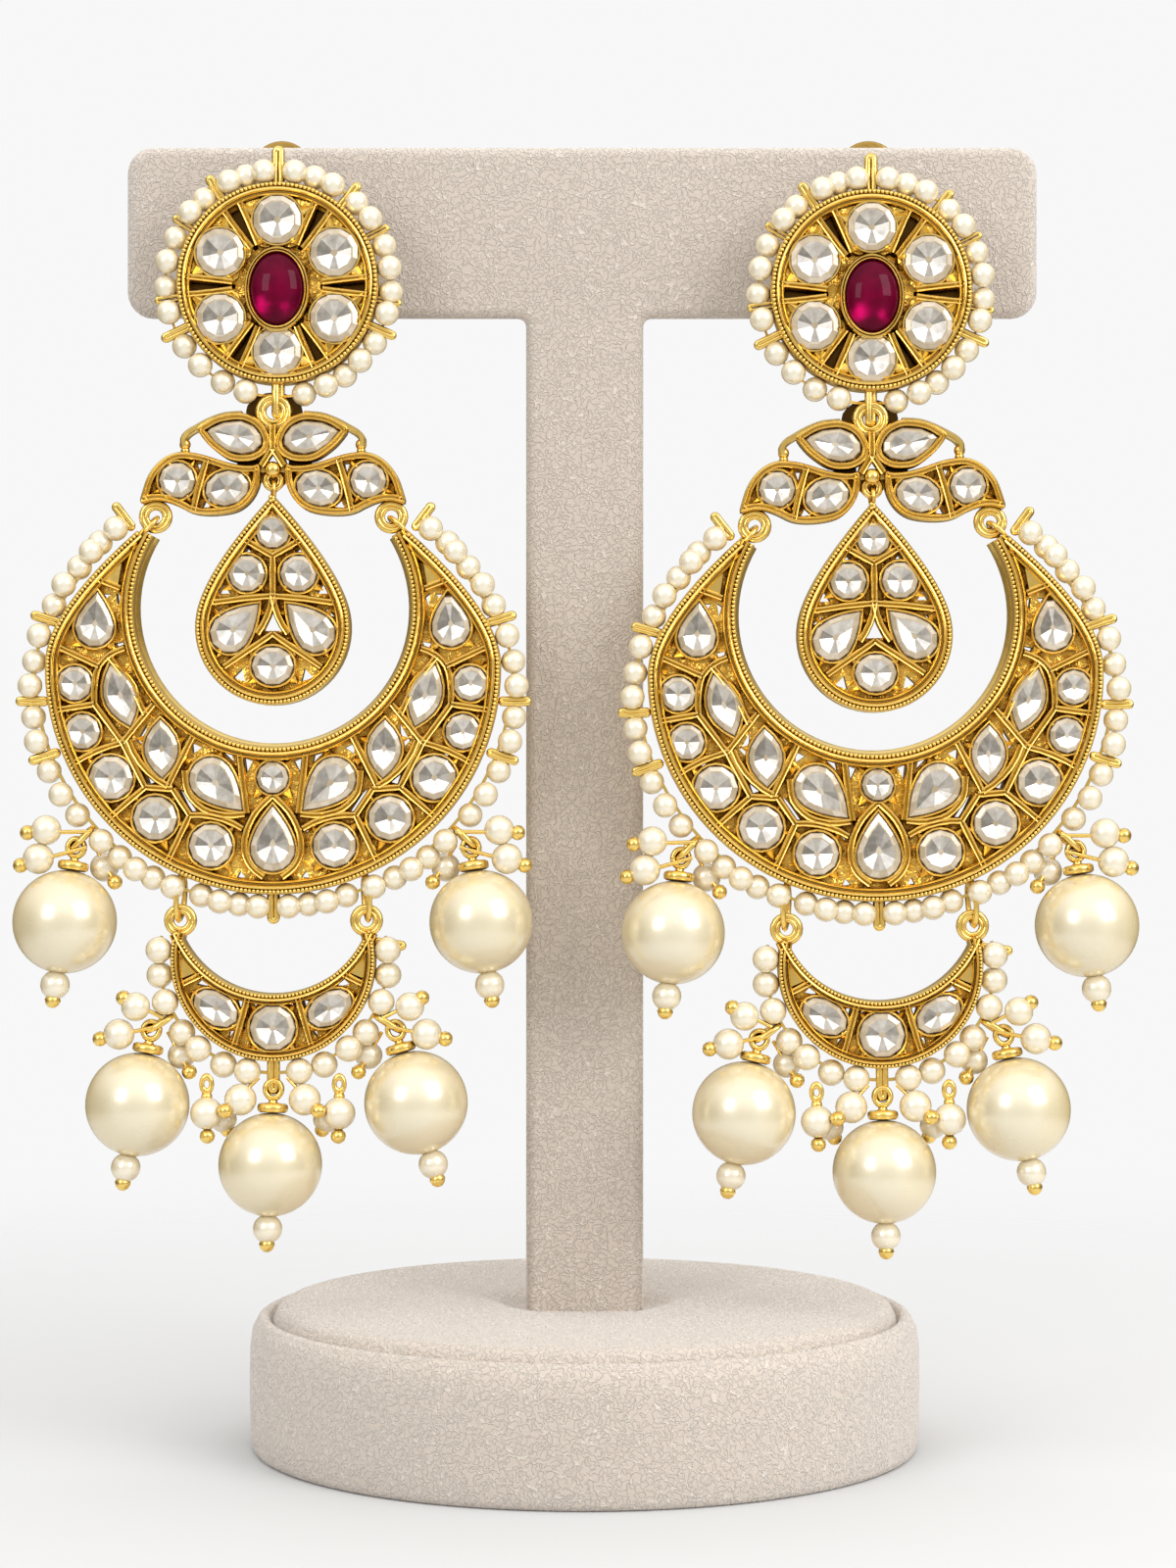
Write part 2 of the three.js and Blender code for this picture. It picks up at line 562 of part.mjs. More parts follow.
function smallCrescent() {
  const edgeBottom = BOAT.outerZ - BOAT.outerR;
  const notch = bar(
    [0, edgeBottom - 0.1],
    [0, edgeBottom - SEED.reach - 1],
    2 * LAST_NOTCH,
    -WALL_HALF,
    WALL_HALF,
  );
  const halves = [-1, 1].flatMap((side) => [
    hook(LOW_HOOK, side),
    flatRing(side * LINK.x, LINK.z - BOAT_RING, BOAT_RING, WIRE.ring),
    ...BOAT_DANGLES.map((row) => dangle(row, side)),
  ]);
  return join([
    cut(setting({
      edge: boatShape(BOAT_EDGE),
      room: boatShape(BOAT_ROOM),
      band: boatShape(BOAT_BAND),
      gaps: BOAT_GAPS,
      segments: 4,
    }), [notch]),
    ...BOAT_STONES.map(({ x, z, halfX, halfZ, turn }) => (
      gem(oval(x, z, halfX, halfZ, turn), STONE_FRONT, 0, STONE_SIDES / 2))),
    ...halves,
    hook(LAST_HOOK, 1),
    bar([0, LAST_HOOK.z + HOOK_RADIUS - 0.1], [0, edgeBottom + 0.3], 0.7, -0.35, 0.35),
  ]);
}

// ---- Large pearls and their pins: origin at the middle of the pearl ---------------------------

function largePearl() {
  const edge = Math.asin(BORE / PEARL_RADIUS);
  const bands = 4;
  const profile = Array.from({ length: bands + 1 }, (_, i) => {
    const angle = Math.PI - edge - i * (Math.PI - 2 * edge) / bands;
    return [PEARL_RADIUS * Math.sin(angle), PEARL_RADIUS * Math.cos(angle)];
  });
  return turned([...profile, profile[0]], PEARL_SIDES).rotate([90, 0, 0]);
}

function dropPin() {
  const stem = turned([
    [0, END_BALL.centre - END_BALL.radius],
    [END_BALL.radius, END_BALL.centre],
    [SHAFT, END_PEARL.centre - END_PEARL.half],
    [END_PEARL.radius, END_PEARL.centre],
    [SHAFT, END_PEARL.centre + END_PEARL.half],
    [SHAFT, CAP.bottom],
    [CAP.radius, CAP.bottom],
    [0, CAP.top],
  ], 4).rotate([90, 0, 0]);
  return join([stem, flatRing(0, EYE.along, EYE.r, WIRE.fine, 5)]);
}

// ---- Assembly --------------------------------------------------------------------------------

function earring({ side, studX, studZ, loopShift, sway, tilts }) {
  const whole = new THREE.Group();

  const stud = new THREE.Group();
  stud.position.set(studX, HANG_Y, studZ);
  stud.add(node(`${side}_stud_frame`, studFrame(loopShift), gold));
  stud.add(node(`${side}_ear_post`, earPost(studZ), gold));
  stud.add(node(`${side}_ruby`, gem(oval(0, 0, RUBY.x, RUBY.z), RUBY.front, RUBY.back, 4), rubyRed));
  for (let i = 0; i < PETAL_COUNT; i += 1) {
    const stone = gem(circle(0, 0, POLKI.radius), POLKI.front, POLKI.back, STONE_SIDES / 2);
    const polki = node(`${side}_polki_${i + 1}`, stone, glass);
    const angle = i * 2 * Math.PI / PETAL_COUNT;
    polki.position.set(PETAL_CENTRE * Math.sin(angle), 0, PETAL_CENTRE * Math.cos(angle));
    stud.add(polki);
  }

  const drop = new THREE.Group();
  drop.position.set(studX + loopShift, HANG_Y, studZ - LOOP_DROP);
  drop.rotation.y = -rad(sway);
  drop.add(node(`${side}_leaf_link`, leafLink(), gold));
  drop.add(node(`${side}_teardrop`, teardrop(), gold));
  drop.add(node(`${side}_crescent`, crescent(), gold));
  LARGE_STONES.forEach((stone, i) => {
    const shape = gem(pear(stoneOutline(stone)), STONE_FRONT, LARGE_BACK, 2);
    drop.add(node(`${side}_crescent_stone_${i + 1}`, shape, glass));
  });
  drop.add(node(`${side}_small_crescent`, smallCrescent(), gold));

  const hooks = [[SIDE_HOOK, -1], [SIDE_HOOK, 1], [LOW_HOOK, -1], [LOW_HOOK, 1], [LAST_HOOK, 1]];
  hooks.forEach(([{ x, z, direction }, mirrorX], i) => {
    const angle = rad(direction);
    const tilt = rad(tilts[i]);
    const eyeX = mirrorX * (x + EYE.r * Math.cos(angle));
    const eyeZ = z - EYE.r * Math.sin(angle);
    const hanging = new THREE.Group();
    hanging.position.set(eyeX - EYE.along * Math.sin(tilt), 0, eyeZ - EYE.along * Math.cos(tilt));
    hanging.rotation.y = tilt;
    hanging.add(node(`${side}_pearl_${i + 1}`, largePearl(), nacre));
    hanging.add(node(`${side}_drop_pin_${i + 1}`, dropPin(), gold));
    drop.add(hanging);
  });

  whole.add(stud, drop);
  return whole;
}

const pair = new THREE.Group();
pair.add(node('stand_base', standBase(), velvet));
pair.add(node('stand_tee', standTee(), velvet));
pair.add(...PAIR.map(earring));

export default pair;
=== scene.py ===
# A pair of chandbali earrings hung on a velvet T-bar stand. Metres, +Z up, the front faces -Y.

import json
from math import atan2, cos, exp, hypot, pi, radians, sin

import bmesh
import bpy
from mathutils import Matrix, Vector


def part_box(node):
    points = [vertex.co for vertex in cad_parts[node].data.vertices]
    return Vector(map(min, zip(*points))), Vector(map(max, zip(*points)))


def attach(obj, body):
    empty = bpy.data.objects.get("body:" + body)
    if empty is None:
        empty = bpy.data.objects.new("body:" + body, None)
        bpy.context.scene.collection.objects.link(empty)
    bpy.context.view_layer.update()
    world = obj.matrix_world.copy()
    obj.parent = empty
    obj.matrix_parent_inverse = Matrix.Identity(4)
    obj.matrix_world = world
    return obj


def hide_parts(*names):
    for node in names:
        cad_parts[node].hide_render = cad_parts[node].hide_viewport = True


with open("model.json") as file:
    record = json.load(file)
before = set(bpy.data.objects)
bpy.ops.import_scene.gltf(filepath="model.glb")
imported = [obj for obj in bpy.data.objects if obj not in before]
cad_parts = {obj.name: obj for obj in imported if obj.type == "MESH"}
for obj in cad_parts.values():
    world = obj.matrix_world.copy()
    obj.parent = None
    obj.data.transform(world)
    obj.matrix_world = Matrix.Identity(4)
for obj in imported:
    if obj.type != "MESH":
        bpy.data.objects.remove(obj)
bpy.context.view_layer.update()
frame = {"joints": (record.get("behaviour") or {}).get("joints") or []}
scene = bpy.context.scene

# ---- Camera ----------------------------------------------------------------------------------
# A long lens, level and square on to the stand, a third of a metre in front of it. It sees the
# whole stand with both earrings, upright in the frame.

lens = bpy.data.cameras.new("camera")
lens.sensor_fit = "VERTICAL"
lens.sensor_height = 36
lens.lens = 76.75
lens.clip_start = 0.01
camera = bpy.data.objects.new("camera", lens)
camera.location = (0.00033, -0.335, 0.0658)
camera.rotation_euler = (pi / 2, 0, 0)
scene.collection.objects.link(camera)
scene.camera = camera

# ---- Stand base ------------------------------------------------------------------------------
# A weighted disc wrapped in beige flocked velvet. Its covered top panel is pressed into the side
# wrap, so a soft groove runs round it, and the post stands in a shallow dip.

MM = 0.001
WHITE = (1.0, 1.0, 1.0, 1.0)


def node(tree, kind, inputs=None, **settings):
    """One shader node. An input is a plain value, or another node's output that feeds it."""
    made = tree.nodes.new(kind)
    for name, value in settings.items():
        setattr(made, name, value)
    for name, value in (inputs or {}).items():
        if isinstance(value, bpy.types.NodeSocket):
            tree.links.new(value, made.inputs[name])
        else:
            made.inputs[name].default_value = value
    return made


def group_of(name, inputs, outputs=("Color", "Roughness", "Height")):
    """An empty node group. An input is given by its start: a number, a colour, or None for a vector."""
    kinds = {float: "NodeSocketFloat", tuple: "NodeSocketColor", type(None): "NodeSocketVector"}
    tree = bpy.data.node_groups.new(name, "ShaderNodeTree")
    for label, start in inputs.items():
        socket = tree.interface.new_socket(label, in_out="INPUT", socket_type=kinds[type(start)])
        if start:
            socket.default_value = start
    for label in outputs:
        kind = kinds[tuple if label == "Color" else float]
        tree.interface.new_socket(label, in_out="OUTPUT", socket_type=kind)
    return tree, tree.nodes.new("NodeGroupInput").outputs, tree.nodes.new("NodeGroupOutput").inputs


def finish_of(name, **values):
    """A material with one Principled shader, whose plain values are set on its own sockets."""
    material = bpy.data.materials.new(name)
    material.use_nodes = True
    tree = material.node_tree
    shader = tree.nodes["Principled BSDF"]
    for label, value in values.items():
        shader.inputs[label.replace("_", " ")].default_value = value
    return material, tree, shader


def noise(tree, place, scale, detail):
    return node(tree, "ShaderNodeTexNoise", {"Vector": place, "Scale": scale, "Detail": detail}).outputs


def ranged(tree, value, start, end, low=0.0, high=1.0, interpolation="LINEAR"):
    """A value that runs from start to end, made to run from low to high."""
    return node(tree, "ShaderNodeMapRange", {
        "Value": value, "From Min": start, "From Max": end, "To Min": low, "To Max": high},
        interpolation_type=interpolation).outputs[0]


def reckoned(tree, operation, *values):
    return node(tree, "ShaderNodeMath", dict(enumerate(values)), operation=operation).outputs[0]


def mixed(tree, factor, first, second):
    blend = node(tree, "ShaderNodeMix", {"Factor": factor, "A": first, "B": second}, data_type="RGBA")
    return blend.outputs[2]


def own_place(tree):
    return node(tree, "ShaderNodeTexCoord").outputs["Object"]


def surfaced(name, group, given, strength, depth, **values):
    """A finish whose colour and relief, and roughness if it has one, come from a node group."""
    material, tree, shader = finish_of(name, **values)
    surface = node(tree, "ShaderNodeGroup", {"Coordinates": own_place(tree), **given}, node_tree=group)
    relief = node(tree, "ShaderNodeBump", {
        "Height": surface.outputs["Height"], "Strength": strength, "Distance": depth})
    tree.links.new(surface.outputs["Color"], shader.inputs["Base Color"])
    tree.links.new(relief.outputs[0], shader.inputs["Normal"])
    if "Roughness" in surface.outputs:
        tree.links.new(surface.outputs["Roughness"], shader.inputs["Roughness"])
    return material, tree, shader


flock, given, result = group_of(
    "flock",
    {"Coordinates": None, "Fibre": 0.0005, "Base": WHITE, "Tip": WHITE}, ("Color", "Height"))
pitch = reckoned(flock, "DIVIDE", 1.0, given["Fibre"])


def fibres(place, half_width):
    """Short curled fibres: the thin lines along which a noise passes its middle value."""
    off_middle = reckoned(flock, "SUBTRACT", noise(flock, place, pitch, 0.0)["Fac"], 0.5)
    return ranged(flock, reckoned(flock, "ABSOLUTE", off_middle), 0.0, half_width, 1.0, 0.0)


curl = noise(flock, given["Coordinates"], pitch, 1.0)["Color"]
bent = node(flock, "ShaderNodeVectorMath", {0: curl, 1: given["Fibre"]}, operation="MULTIPLY").outputs[0]
moved = node(flock, "ShaderNodeVectorMath", {0: given["Coordinates"], 1: bent}, operation="ADD").outputs[0]
across = node(flock, "ShaderNodeVectorMath", {0: moved, 1: (0.37, 0.11, 0.53)}, operation="ADD").outputs[0]
pile = reckoned(flock, "MAXIMUM", fibres(moved, 0.06), fibres(across, 0.05))
flock.links.new(mixed(flock, pile, given["Base"], given["Tip"]), result["Color"])
flock.links.new(pile, result["Height"])


def piece(name, bm, material, slot, body, *stands_for, smooth=35):
    """A finished piece: modelled in millimetres, kept in metres, with its finish and its body."""
    mesh = bpy.data.meshes.new(name)
    bm.to_mesh(mesh)
    bm.free()
    mesh.transform(Matrix.Scale(MM, 4))
    mesh.materials.append(material)
    mesh.shade_smooth()
    if smooth < 180:
        mesh.set_sharp_from_angle(angle=radians(smooth))
    made = bpy.data.objects.new(name, mesh)
    scene.collection.objects.link(made)
    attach(made, body)
    if stands_for:
        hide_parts(*stands_for)
    return made


def join(bm, part):
    carried = bpy.data.meshes.new("carried")
    part.to_mesh(carried)
    part.free()
    bm.from_mesh(carried)
    bpy.data.meshes.remove(carried)


def put(bm, part, place=Matrix()):
    """Adds one closed part to a piece, cleaned and with its faces outwards."""
    bmesh.ops.remove_doubles(part, verts=part.verts, dist=1e-4)
    bmesh.ops.dissolve_degenerate(part, edges=part.edges, dist=1e-5)
    bmesh.ops.recalc_face_normals(part, faces=part.faces)
    part.transform(place)
    join(bm, part)


def spun(part, line, edges, steps):
    bmesh.ops.spin(part, geom=line + edges, cent=(0, 0, 0), axis=(0, 0, 1), angle=2 * pi,
                   steps=steps, use_merge=True)


def turned(bm, profile, steps, place=Matrix()):
    """A solid of revolution about Z, from a profile of radius and height."""
    part = bmesh.new()
    line = [part.verts.new((r, 0, z)) for r, z in profile]
    spun(part, line, [part.edges.new(pair) for pair in zip(line, line[1:])], steps)
    put(bm, part, place)


velvet = surfaced(
    "beige_velvet", flock,
    {"Fibre": 0.00066, "Base": (0.6, 0.522, 0.45, 1), "Tip": (0.735, 0.655, 0.575, 1)}, 0.7, 0.00018,
    Roughness=0.95, Sheen_Weight=0.5, Sheen_Roughness=0.5, Specular_IOR_Level=0.15)[0]
base_low, base_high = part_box("stand_base")
BASE_RADIUS = (base_high.x - base_low.x) / 2 / MM
BASE_TOP = base_high.z / MM
WRAP_RADIUS, WRAP_TOP = 33.3, 13.2
SIDE_WRAP = [(0, 0), (32.7, 0), (33.1, 0.2), (33.3, 0.8), (33.35, 3), (33.4, 6.4), (33.35, 10),
             (33.1, 11.8), (32.5, 12.9), (31.9, 13.2), (31.45, 12.9), (31.2, 12), (31, 12.9),
             (30.6, 13.7), (29.9, 14.1), (29, 14.2), (20, 14.2), (9.3, 14.2), (8.4, 14),
             (7.9, 13.8), (0, 13.7)]

wrap = bmesh.new()
turned(wrap, [(r * BASE_RADIUS / WRAP_RADIUS, z * BASE_TOP / WRAP_TOP) for r, z in SIDE_WRAP], steps=160)
piece("velvet_base", wrap, velvet, "velvet", "stand_and_studs", "stand_base", smooth=180)

# ---- T-bar -----------------------------------------------------------------------------------
# A flat T cut from board and wrapped in the same velvet. The wrap rounds every edge, and its pile
# catches the light along them.

tee_low, tee_high = (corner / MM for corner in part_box("stand_tee"))
POST_HALF = 5.8
BAR_UNDER = 113.1
BAR_TOP = tee_high.z + 0.1
FRONT_DROP = 1.4
BAR_LEFT = tee_low.x - 0.5
BAR_ROUND, INNER_ROUND, EDGE_ROUND = 2.6, 0.8, 1.1


def rounded(bm, edges, radius, segments):
    bmesh.ops.bevel(bm, geom=edges, offset=radius, segments=segments, profile=0.5,
                    affect="EDGES", material=-1)


def depth_run(edge):
    return abs(edge.verts[0].co.y - edge.verts[1].co.y)


tee = bmesh.new()
corners = [(-POST_HALF, tee_low.z), (POST_HALF, tee_low.z), (POST_HALF, BAR_UNDER), (tee_high.x, BAR_UNDER),
           (tee_high.x, BAR_TOP), (BAR_LEFT, BAR_TOP), (BAR_LEFT, BAR_UNDER), (-POST_HALF, BAR_UNDER)]
front = tee.faces.new([tee.verts.new((x, tee_low.y, z)) for x, z in corners])
grown = bmesh.ops.extrude_face_region(tee, geom=[front])["geom"]
bmesh.ops.translate(tee, verts=[v for v in grown if isinstance(v, bmesh.types.BMVert)],
                    vec=(0, tee_high.y - tee_low.y, 0))
front_under = [v for v in tee.verts if v.co.y < tee_low.y + 0.1 and abs(v.co.z - BAR_UNDER) < 0.1]
bmesh.ops.translate(tee, verts=front_under, vec=(0, 0, -FRONT_DROP))
bar_ends = [e for e in tee.edges if depth_run(e) > 1 and abs(e.verts[0].co.x) > 20]
rounded(tee, bar_ends, BAR_ROUND, 6)
inner = [e for e in tee.edges if depth_run(e) > 1 and abs(e.verts[0].co.x) < 10 and e.verts[0].co.z > 50]
rounded(tee, inner, INNER_ROUND, 4)
bmesh.ops.recalc_face_normals(tee, faces=tee.faces)
rims = [e for e in tee.edges if e.is_manifold and e.calc_face_angle(0) > 0.9
        and depth_run(e) < 0.1 and min(v.co.z for v in e.verts) > 12]
rounded(tee, rims, EDGE_ROUND, 5)
piece("velvet_tee", tee, velvet, "velvet", "stand_and_studs", "stand_tee", smooth=60)

# ---- Stud frames -----------------------------------------------------------------------------
# Cast brass, gold plated. A grained rim holds a pierced plate with six petal cells round the
# oval bezel of the ruby. The plating is bright on the open edges and dark in the recesses, partly
# from tarnish and partly as painted shade.

# The plating takes its Dark colour where ambient occlusion finds a recess: partly tarnish, partly painted
# shade.
patina_and_shade, given, result = group_of(
    "patina_and_shade", {"Coordinates": None, "Bright": WHITE, "Dark": WHITE, "Reach": 0.0006})
hollow = node(patina_and_shade, "ShaderNodeAmbientOcclusion", {"Distance": given["Reach"]}, samples=6).outputs["AO"]
open_face = ranged(patina_and_shade, hollow, 0.18, 0.62, interpolation="SMOOTHSTEP")
cast = noise(patina_and_shade, given["Coordinates"], 750.0, 3.0)["Fac"]
cloud = noise(patina_and_shade, given["Coordinates"], 900.0, 2.0)["Fac"]
tarnish = ranged(patina_and_shade, open_face, 0.0, 1.0, 0.12, 0.0)
matt = reckoned(patina_and_shade, "ADD", ranged(patina_and_shade, cloud, 0.3, 0.7, 0.14, 0.28), tarnish)
patina_and_shade.links.new(mixed(patina_and_shade, open_face, given["Dark"], given["Bright"]), result["Color"])
patina_and_shade.links.new(matt, result["Roughness"])
patina_and_shade.links.new(cast, result["Height"])


def gold_of(name, bright, dark, reach=0.0007, beaten=0.0001):
    plating = {"Bright": bright, "Dark": dark, "Reach": reach}
    return surfaced(name, patina_and_shade, plating, 0.6, beaten, Metallic=1.0)[0]


gold = gold_of("patina_and_shade_gold", (0.97, 0.69, 0.2, 1), (0.16, 0.05, 0.002, 1))
# The seats' gold reaches further, so painted shade spreads from the walls over the floor. Its beaten relief
# is coarser.
bed_gold = gold_of("beaten_gold", (0.92, 0.57, 0.11, 1), (0.14, 0.045, 0.002, 1), 0.0013, 0.0013)
# A duller, darker gold for the paddle that stands behind the bar: painted shade.
half_shaded_gold = gold_of("half_shaded_gold", (0.45, 0.28, 0.07, 1), (0.12, 0.055, 0.006, 1))
# A near-black gold, for sheets of painted shadow behind slits and gaps.
dark_gold = gold_of("shadowed_gold", (0.09, 0.045, 0.01, 1), (0.02, 0.01, 0.003, 1))

# Where the two earrings hang: each stud on its ruby, and each drop on its first hinge.
STUD_PLACE, DROP_PLACE = {}, {}
for side in ("left", "right"):
    low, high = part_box(f"{side}_ruby")
    hinge = next(j for j in frame["joints"] if j["name"] == f"{side}_leaf_swing")
    spot = Vector(hinge["pos_m"]) / MM
    across = -Vector(hinge["axis"])
    STUD_PLACE[side] = Matrix.Translation(((low.x + high.x) / 2 / MM, spot.y, (low.z + high.z) / 2 / MM))
    DROP_PLACE[side] = Matrix.Translation(spot) @ Matrix.Rotation(-atan2(across.z, across.x), 4, "Y")


def pair_of(name, bm, material, slot, places, body, *stands_for, smooth=35):
    """The same piece on both earrings. {side} in a body or a node is the earring's own."""
    for side, place in places.items():
        own = bm.copy()
        own.transform(place)
        piece(f"{side}_{name}", own, material, slot, body.format(side=side),
              *(label.format(side=side) for label in stands_for), smooth=smooth)
    bm.free()


def arc(x, z, radius, start, end, steps=24):
    """Points along an arc of the hang plane, in degrees above +X."""
    turns = [radians(start + (end - start) * i / steps) for i in range(steps + 1)]
    return [(x + radius * cos(a), z + radius * sin(a)) for a in turns]


def bow(start, bend, end, steps=8):
    """Points along a bowed line that leaves and arrives towards its bend."""
    return [tuple((1 - t) ** 2 * a + 2 * t * (1 - t) * b + t * t * c for a, b, c in zip(start, bend, end))
            for t in (i / steps for i in range(steps + 1))]


def spline(data, points, closed):
    line = data.splines.new("POLY")
    line.points.add(len(points) - 1)
    for point, (x, z) in zip(line.points, points):
        point.co = (x, z, 0, 1)
    line.use_cyclic_u = closed


def shape_of(thing, *curves):
    """The surface of a curve object as a part. Its curves are then removed."""
    surface = bpy.data.meshes.new_from_object(thing)
    part = bmesh.new()
    part.from_mesh(surface)
    bpy.data.meshes.remove(surface)
    for curve in curves:
        bpy.data.curves.remove(curve)
    return part


def standing(x, y, z):
    """The place of a flat shape that faces the front."""
    return Matrix.Translation((x, y, z)) @ Matrix.Rotation(pi / 2, 4, "X")


def moulding(bm, paths, section, closed=False, back=0.0):
    """Runs a section along flat paths."""
    curves = [bpy.data.curves.new(label, "CURVE") for label in ("way", "section")]
    for curve in curves:
        curve.dimensions, curve.fill_mode = "2D", "NONE"
    for points in paths:
        spline(curves[0], points, closed)
    spline(curves[1], section, True)
    way, form = (bpy.data.objects.new("run", curve) for curve in curves)
    scene.collection.objects.link(way)
    scene.collection.objects.link(form)
    curves[0].bevel_mode, curves[0].bevel_object, curves[0].use_fill_caps = "OBJECT", form, True
    bpy.context.view_layer.update()
    put(bm, shape_of(way.evaluated_get(bpy.context.evaluated_depsgraph_get()), *curves), standing(0, back, 0))


def plate(bm, outlines, front, back):
    """A flat plate. The first outline is its edge, and the others pierce it."""
    curve = bpy.data.curves.new("plate", "CURVE")
    curve.dimensions, curve.fill_mode, curve.extrude = "2D", "BOTH", (back - front) / 2
    for points in outlines:
        spline(curve, points, True)
    put(bm, shape_of(bpy.data.objects.new("plate", curve), curve), standing(0, (front + back) / 2, 0))


GRAIN_LINE = -1.12


def grains(bm, path, radius, pitch, aside):
    """Milgrain: a row of tiny raised grains in even steps along a path, aside to its left."""
    part = bmesh.new()
    ahead = pitch / 2
    for (x0, z0), (x1, z1) in zip(path, path[1:]):
        length = hypot(x1 - x0, z1 - z0)
        dx, dz = (x1 - x0) / length, (z1 - z0) / length
        while ahead <= length:
            spot = (x0 + dx * ahead - dz * aside, GRAIN_LINE, z0 + dz * ahead + dx * aside)
            bmesh.ops.create_icosphere(part, subdivisions=1, radius=radius, matrix=Matrix.Translation(spot))
            ahead += pitch
        ahead -= length
    join(bm, part)


def claw(bm, x, z, angle, length, width, front):
    """A small claw that lies from the edge of a stone outwards, at an angle above +X."""
    part = bmesh.new()
    bmesh.ops.create_cone(part, cap_ends=True, segments=4, radius1=width / 2, radius2=0.05, depth=length)
    along = Matrix.Rotation(radians(90 - angle), 4, "Y") @ Matrix.Translation((0, 0, length / 2))
    put(bm, part, Matrix.Translation((x, front, z)) @ Matrix.Diagonal((1, 0.8, 1, 1)) @ along)


def ring(bm, place, radius, wire, stretch=1.0, steps=20, sides=8):
    """A ring of round wire in the flat of its place, drawn out along the place's own X."""
    part = bmesh.new()
    stand = Matrix.Translation((radius, 0, 0)) @ Matrix.Rotation(pi / 2, 4, "X")
    bmesh.ops.create_circle(part, segments=sides, radius=wire, matrix=stand)
    spun(part, part.verts[:], part.edges[:], steps)
    put(bm, part, place @ Matrix.Diagonal((stretch, 1, 1, 1)))


def double_ring(bm, x, y, z, *loops):
    """Rings of wire, one inside the other, that face the front."""
    for radius, wire in loops:
        ring(bm, standing(x, y, z), radius, wire)


def on_edge(x, z, direction, lean):
    """The place of a ring on edge: it stands out from the front and lies along a direction."""
    return (Matrix.Translation((x, 0, z)) @ Matrix.Rotation(-radians(direction), 4, "Y")
            @ Matrix.Rotation(radians(lean), 4, "X"))


def hairpin(bm, x, z, direction, length, wire, spread=0.22, lean=75):
    """A long narrow loop of wire, from its foot outwards, turned by its lean from the edge-on view."""
    curve = bpy.data.curves.new("hairpin", "CURVE")
    curve.dimensions, curve.bevel_depth, curve.bevel_resolution = "3D", wire, 2
    spline(curve, arc(length - spread, 0, spread, -90, 90, 6) + arc(spread, 0, spread, 90, 270, 6), True)
    put(bm, shape_of(bpy.data.objects.new("hairpin", curve), curve), on_edge(x, z, direction, lean))


def outward(x, z, direction, reach):
    """The point at a reach from another, in a direction in degrees above +X."""
    return x + reach * cos(radians(direction)), z + reach * sin(radians(direction))


def ball(bm, place, radius, subdivisions=3):
    part = bmesh.new()
    bmesh.ops.create_icosphere(part, subdivisions=subdivisions, radius=radius)
    put(bm, part, Matrix.Translation(place))


def turned_about(points, degrees):
    turn = Matrix.Rotation(radians(degrees), 2)
    return [tuple(turn @ Vector(point)) for point in points]


def mirrored(points):
    return [(-x, z) for x, z in reversed(points)]


def whole_circle(x, z, radius, steps):
    return arc(x, z, radius, 0, 360, steps)[:-1]


STUD_OUTER = 9.75
# A section gives distance across and height towards the front.
STUD_SECTION = [(0, -1.4), (0, 0.9), (0.06, 1.05), (0.46, 1.05), (0.52, 1.25), (0.62, 1.4), (0.76, 1.42),
                (0.88, 1.25), (0.96, 0.98), (1.02, 0.98), (1.1, 1.15), (1.2, 1.22), (1.3, 1.12), (1.36, 0.8),
                (1.36, -1.4)]
PETAL_CENTRE = 6.35
POLKI_RADIUS = 2.44
PETAL_SEAT = -0.95
PATTERN_SHIFT = -0.3
RUBY_SHIFT = -0.4
RIDGE = [(-0.38, -0.5), (-0.37, 0.18), (-0.32, 0.36), (-0.24, 0.46), (-0.16, 0.44), (-0.08, 0.3), (0, 0.22),
         (0.08, 0.3), (0.16, 0.44), (0.24, 0.46), (0.32, 0.36), (0.37, 0.18), (0.38, -0.5)]
COLLAR = [(0, -0.6), (0, 0.2), (0.07, 0.3), (0.2, 0.3), (0.28, 0.15), (0.28, -0.6)]
SLIT = [(-0.22, 4.1), (0.22, 4.1), (0.62, 8.45), (-0.62, 8.45)]
PETAL_WALL = bow((-3.6, 7.95), (-2.65, 5.9), (-1.85, 3.95), 8)
PETAL_CELL = PETAL_WALL + arc(0, 0, 3.9, 108, 72, 4) + mirrored(PETAL_WALL) + arc(0, 0, 8.6, 64, 116, 8)
PETAL_CLAWS = [(19, 2.5, 1.55), (161, 2.5, 1.55), (-52, 2.35, 0.5), (232, 2.35, 0.5)]
PLATE_FRONT, PLATE_BACK = -0.15, 0.6
RIB_SEAT = -0.75
SIXTHS = [60 * i for i in range(6)]

stud, bed = bmesh.new(), bmesh.new()
plate(bed, [whole_circle(0, 0, 8.7, 72)] + [turned_about(SLIT, turn + 30) for turn in SIXTHS],
      PLATE_FRONT, PLATE_BACK)
walls = []
for turn in SIXTHS:
    walls += [turned_about(PETAL_WALL, turn), turned_about(mirrored(PETAL_WALL), turn)]
    plate(bed, [turned_about(PETAL_CELL, turn)], RIB_SEAT, 0)
    for angle, reach, length in PETAL_CLAWS:
        x, z = turned_about([outward(0, PETAL_CENTRE, angle, reach)], turn)[0]
        claw(stud, x, z, angle + turn, length, 1.1, PETAL_SEAT)
moulding(stud, walls, RIDGE, back=RIB_SEAT)
collar = whole_circle(0, PETAL_CENTRE, POLKI_RADIUS + 0.16, 32)
moulding(stud, [turned_about(collar, turn) for turn in SIXTHS], COLLAR, closed=True, back=-0.9)
BEZEL_HALF = (3.15, 4.1)
BEZEL = [(BEZEL_HALF[0] * x, RUBY_SHIFT + BEZEL_HALF[1] * z) for x, z in whole_circle(0, 0, 1, 60)]
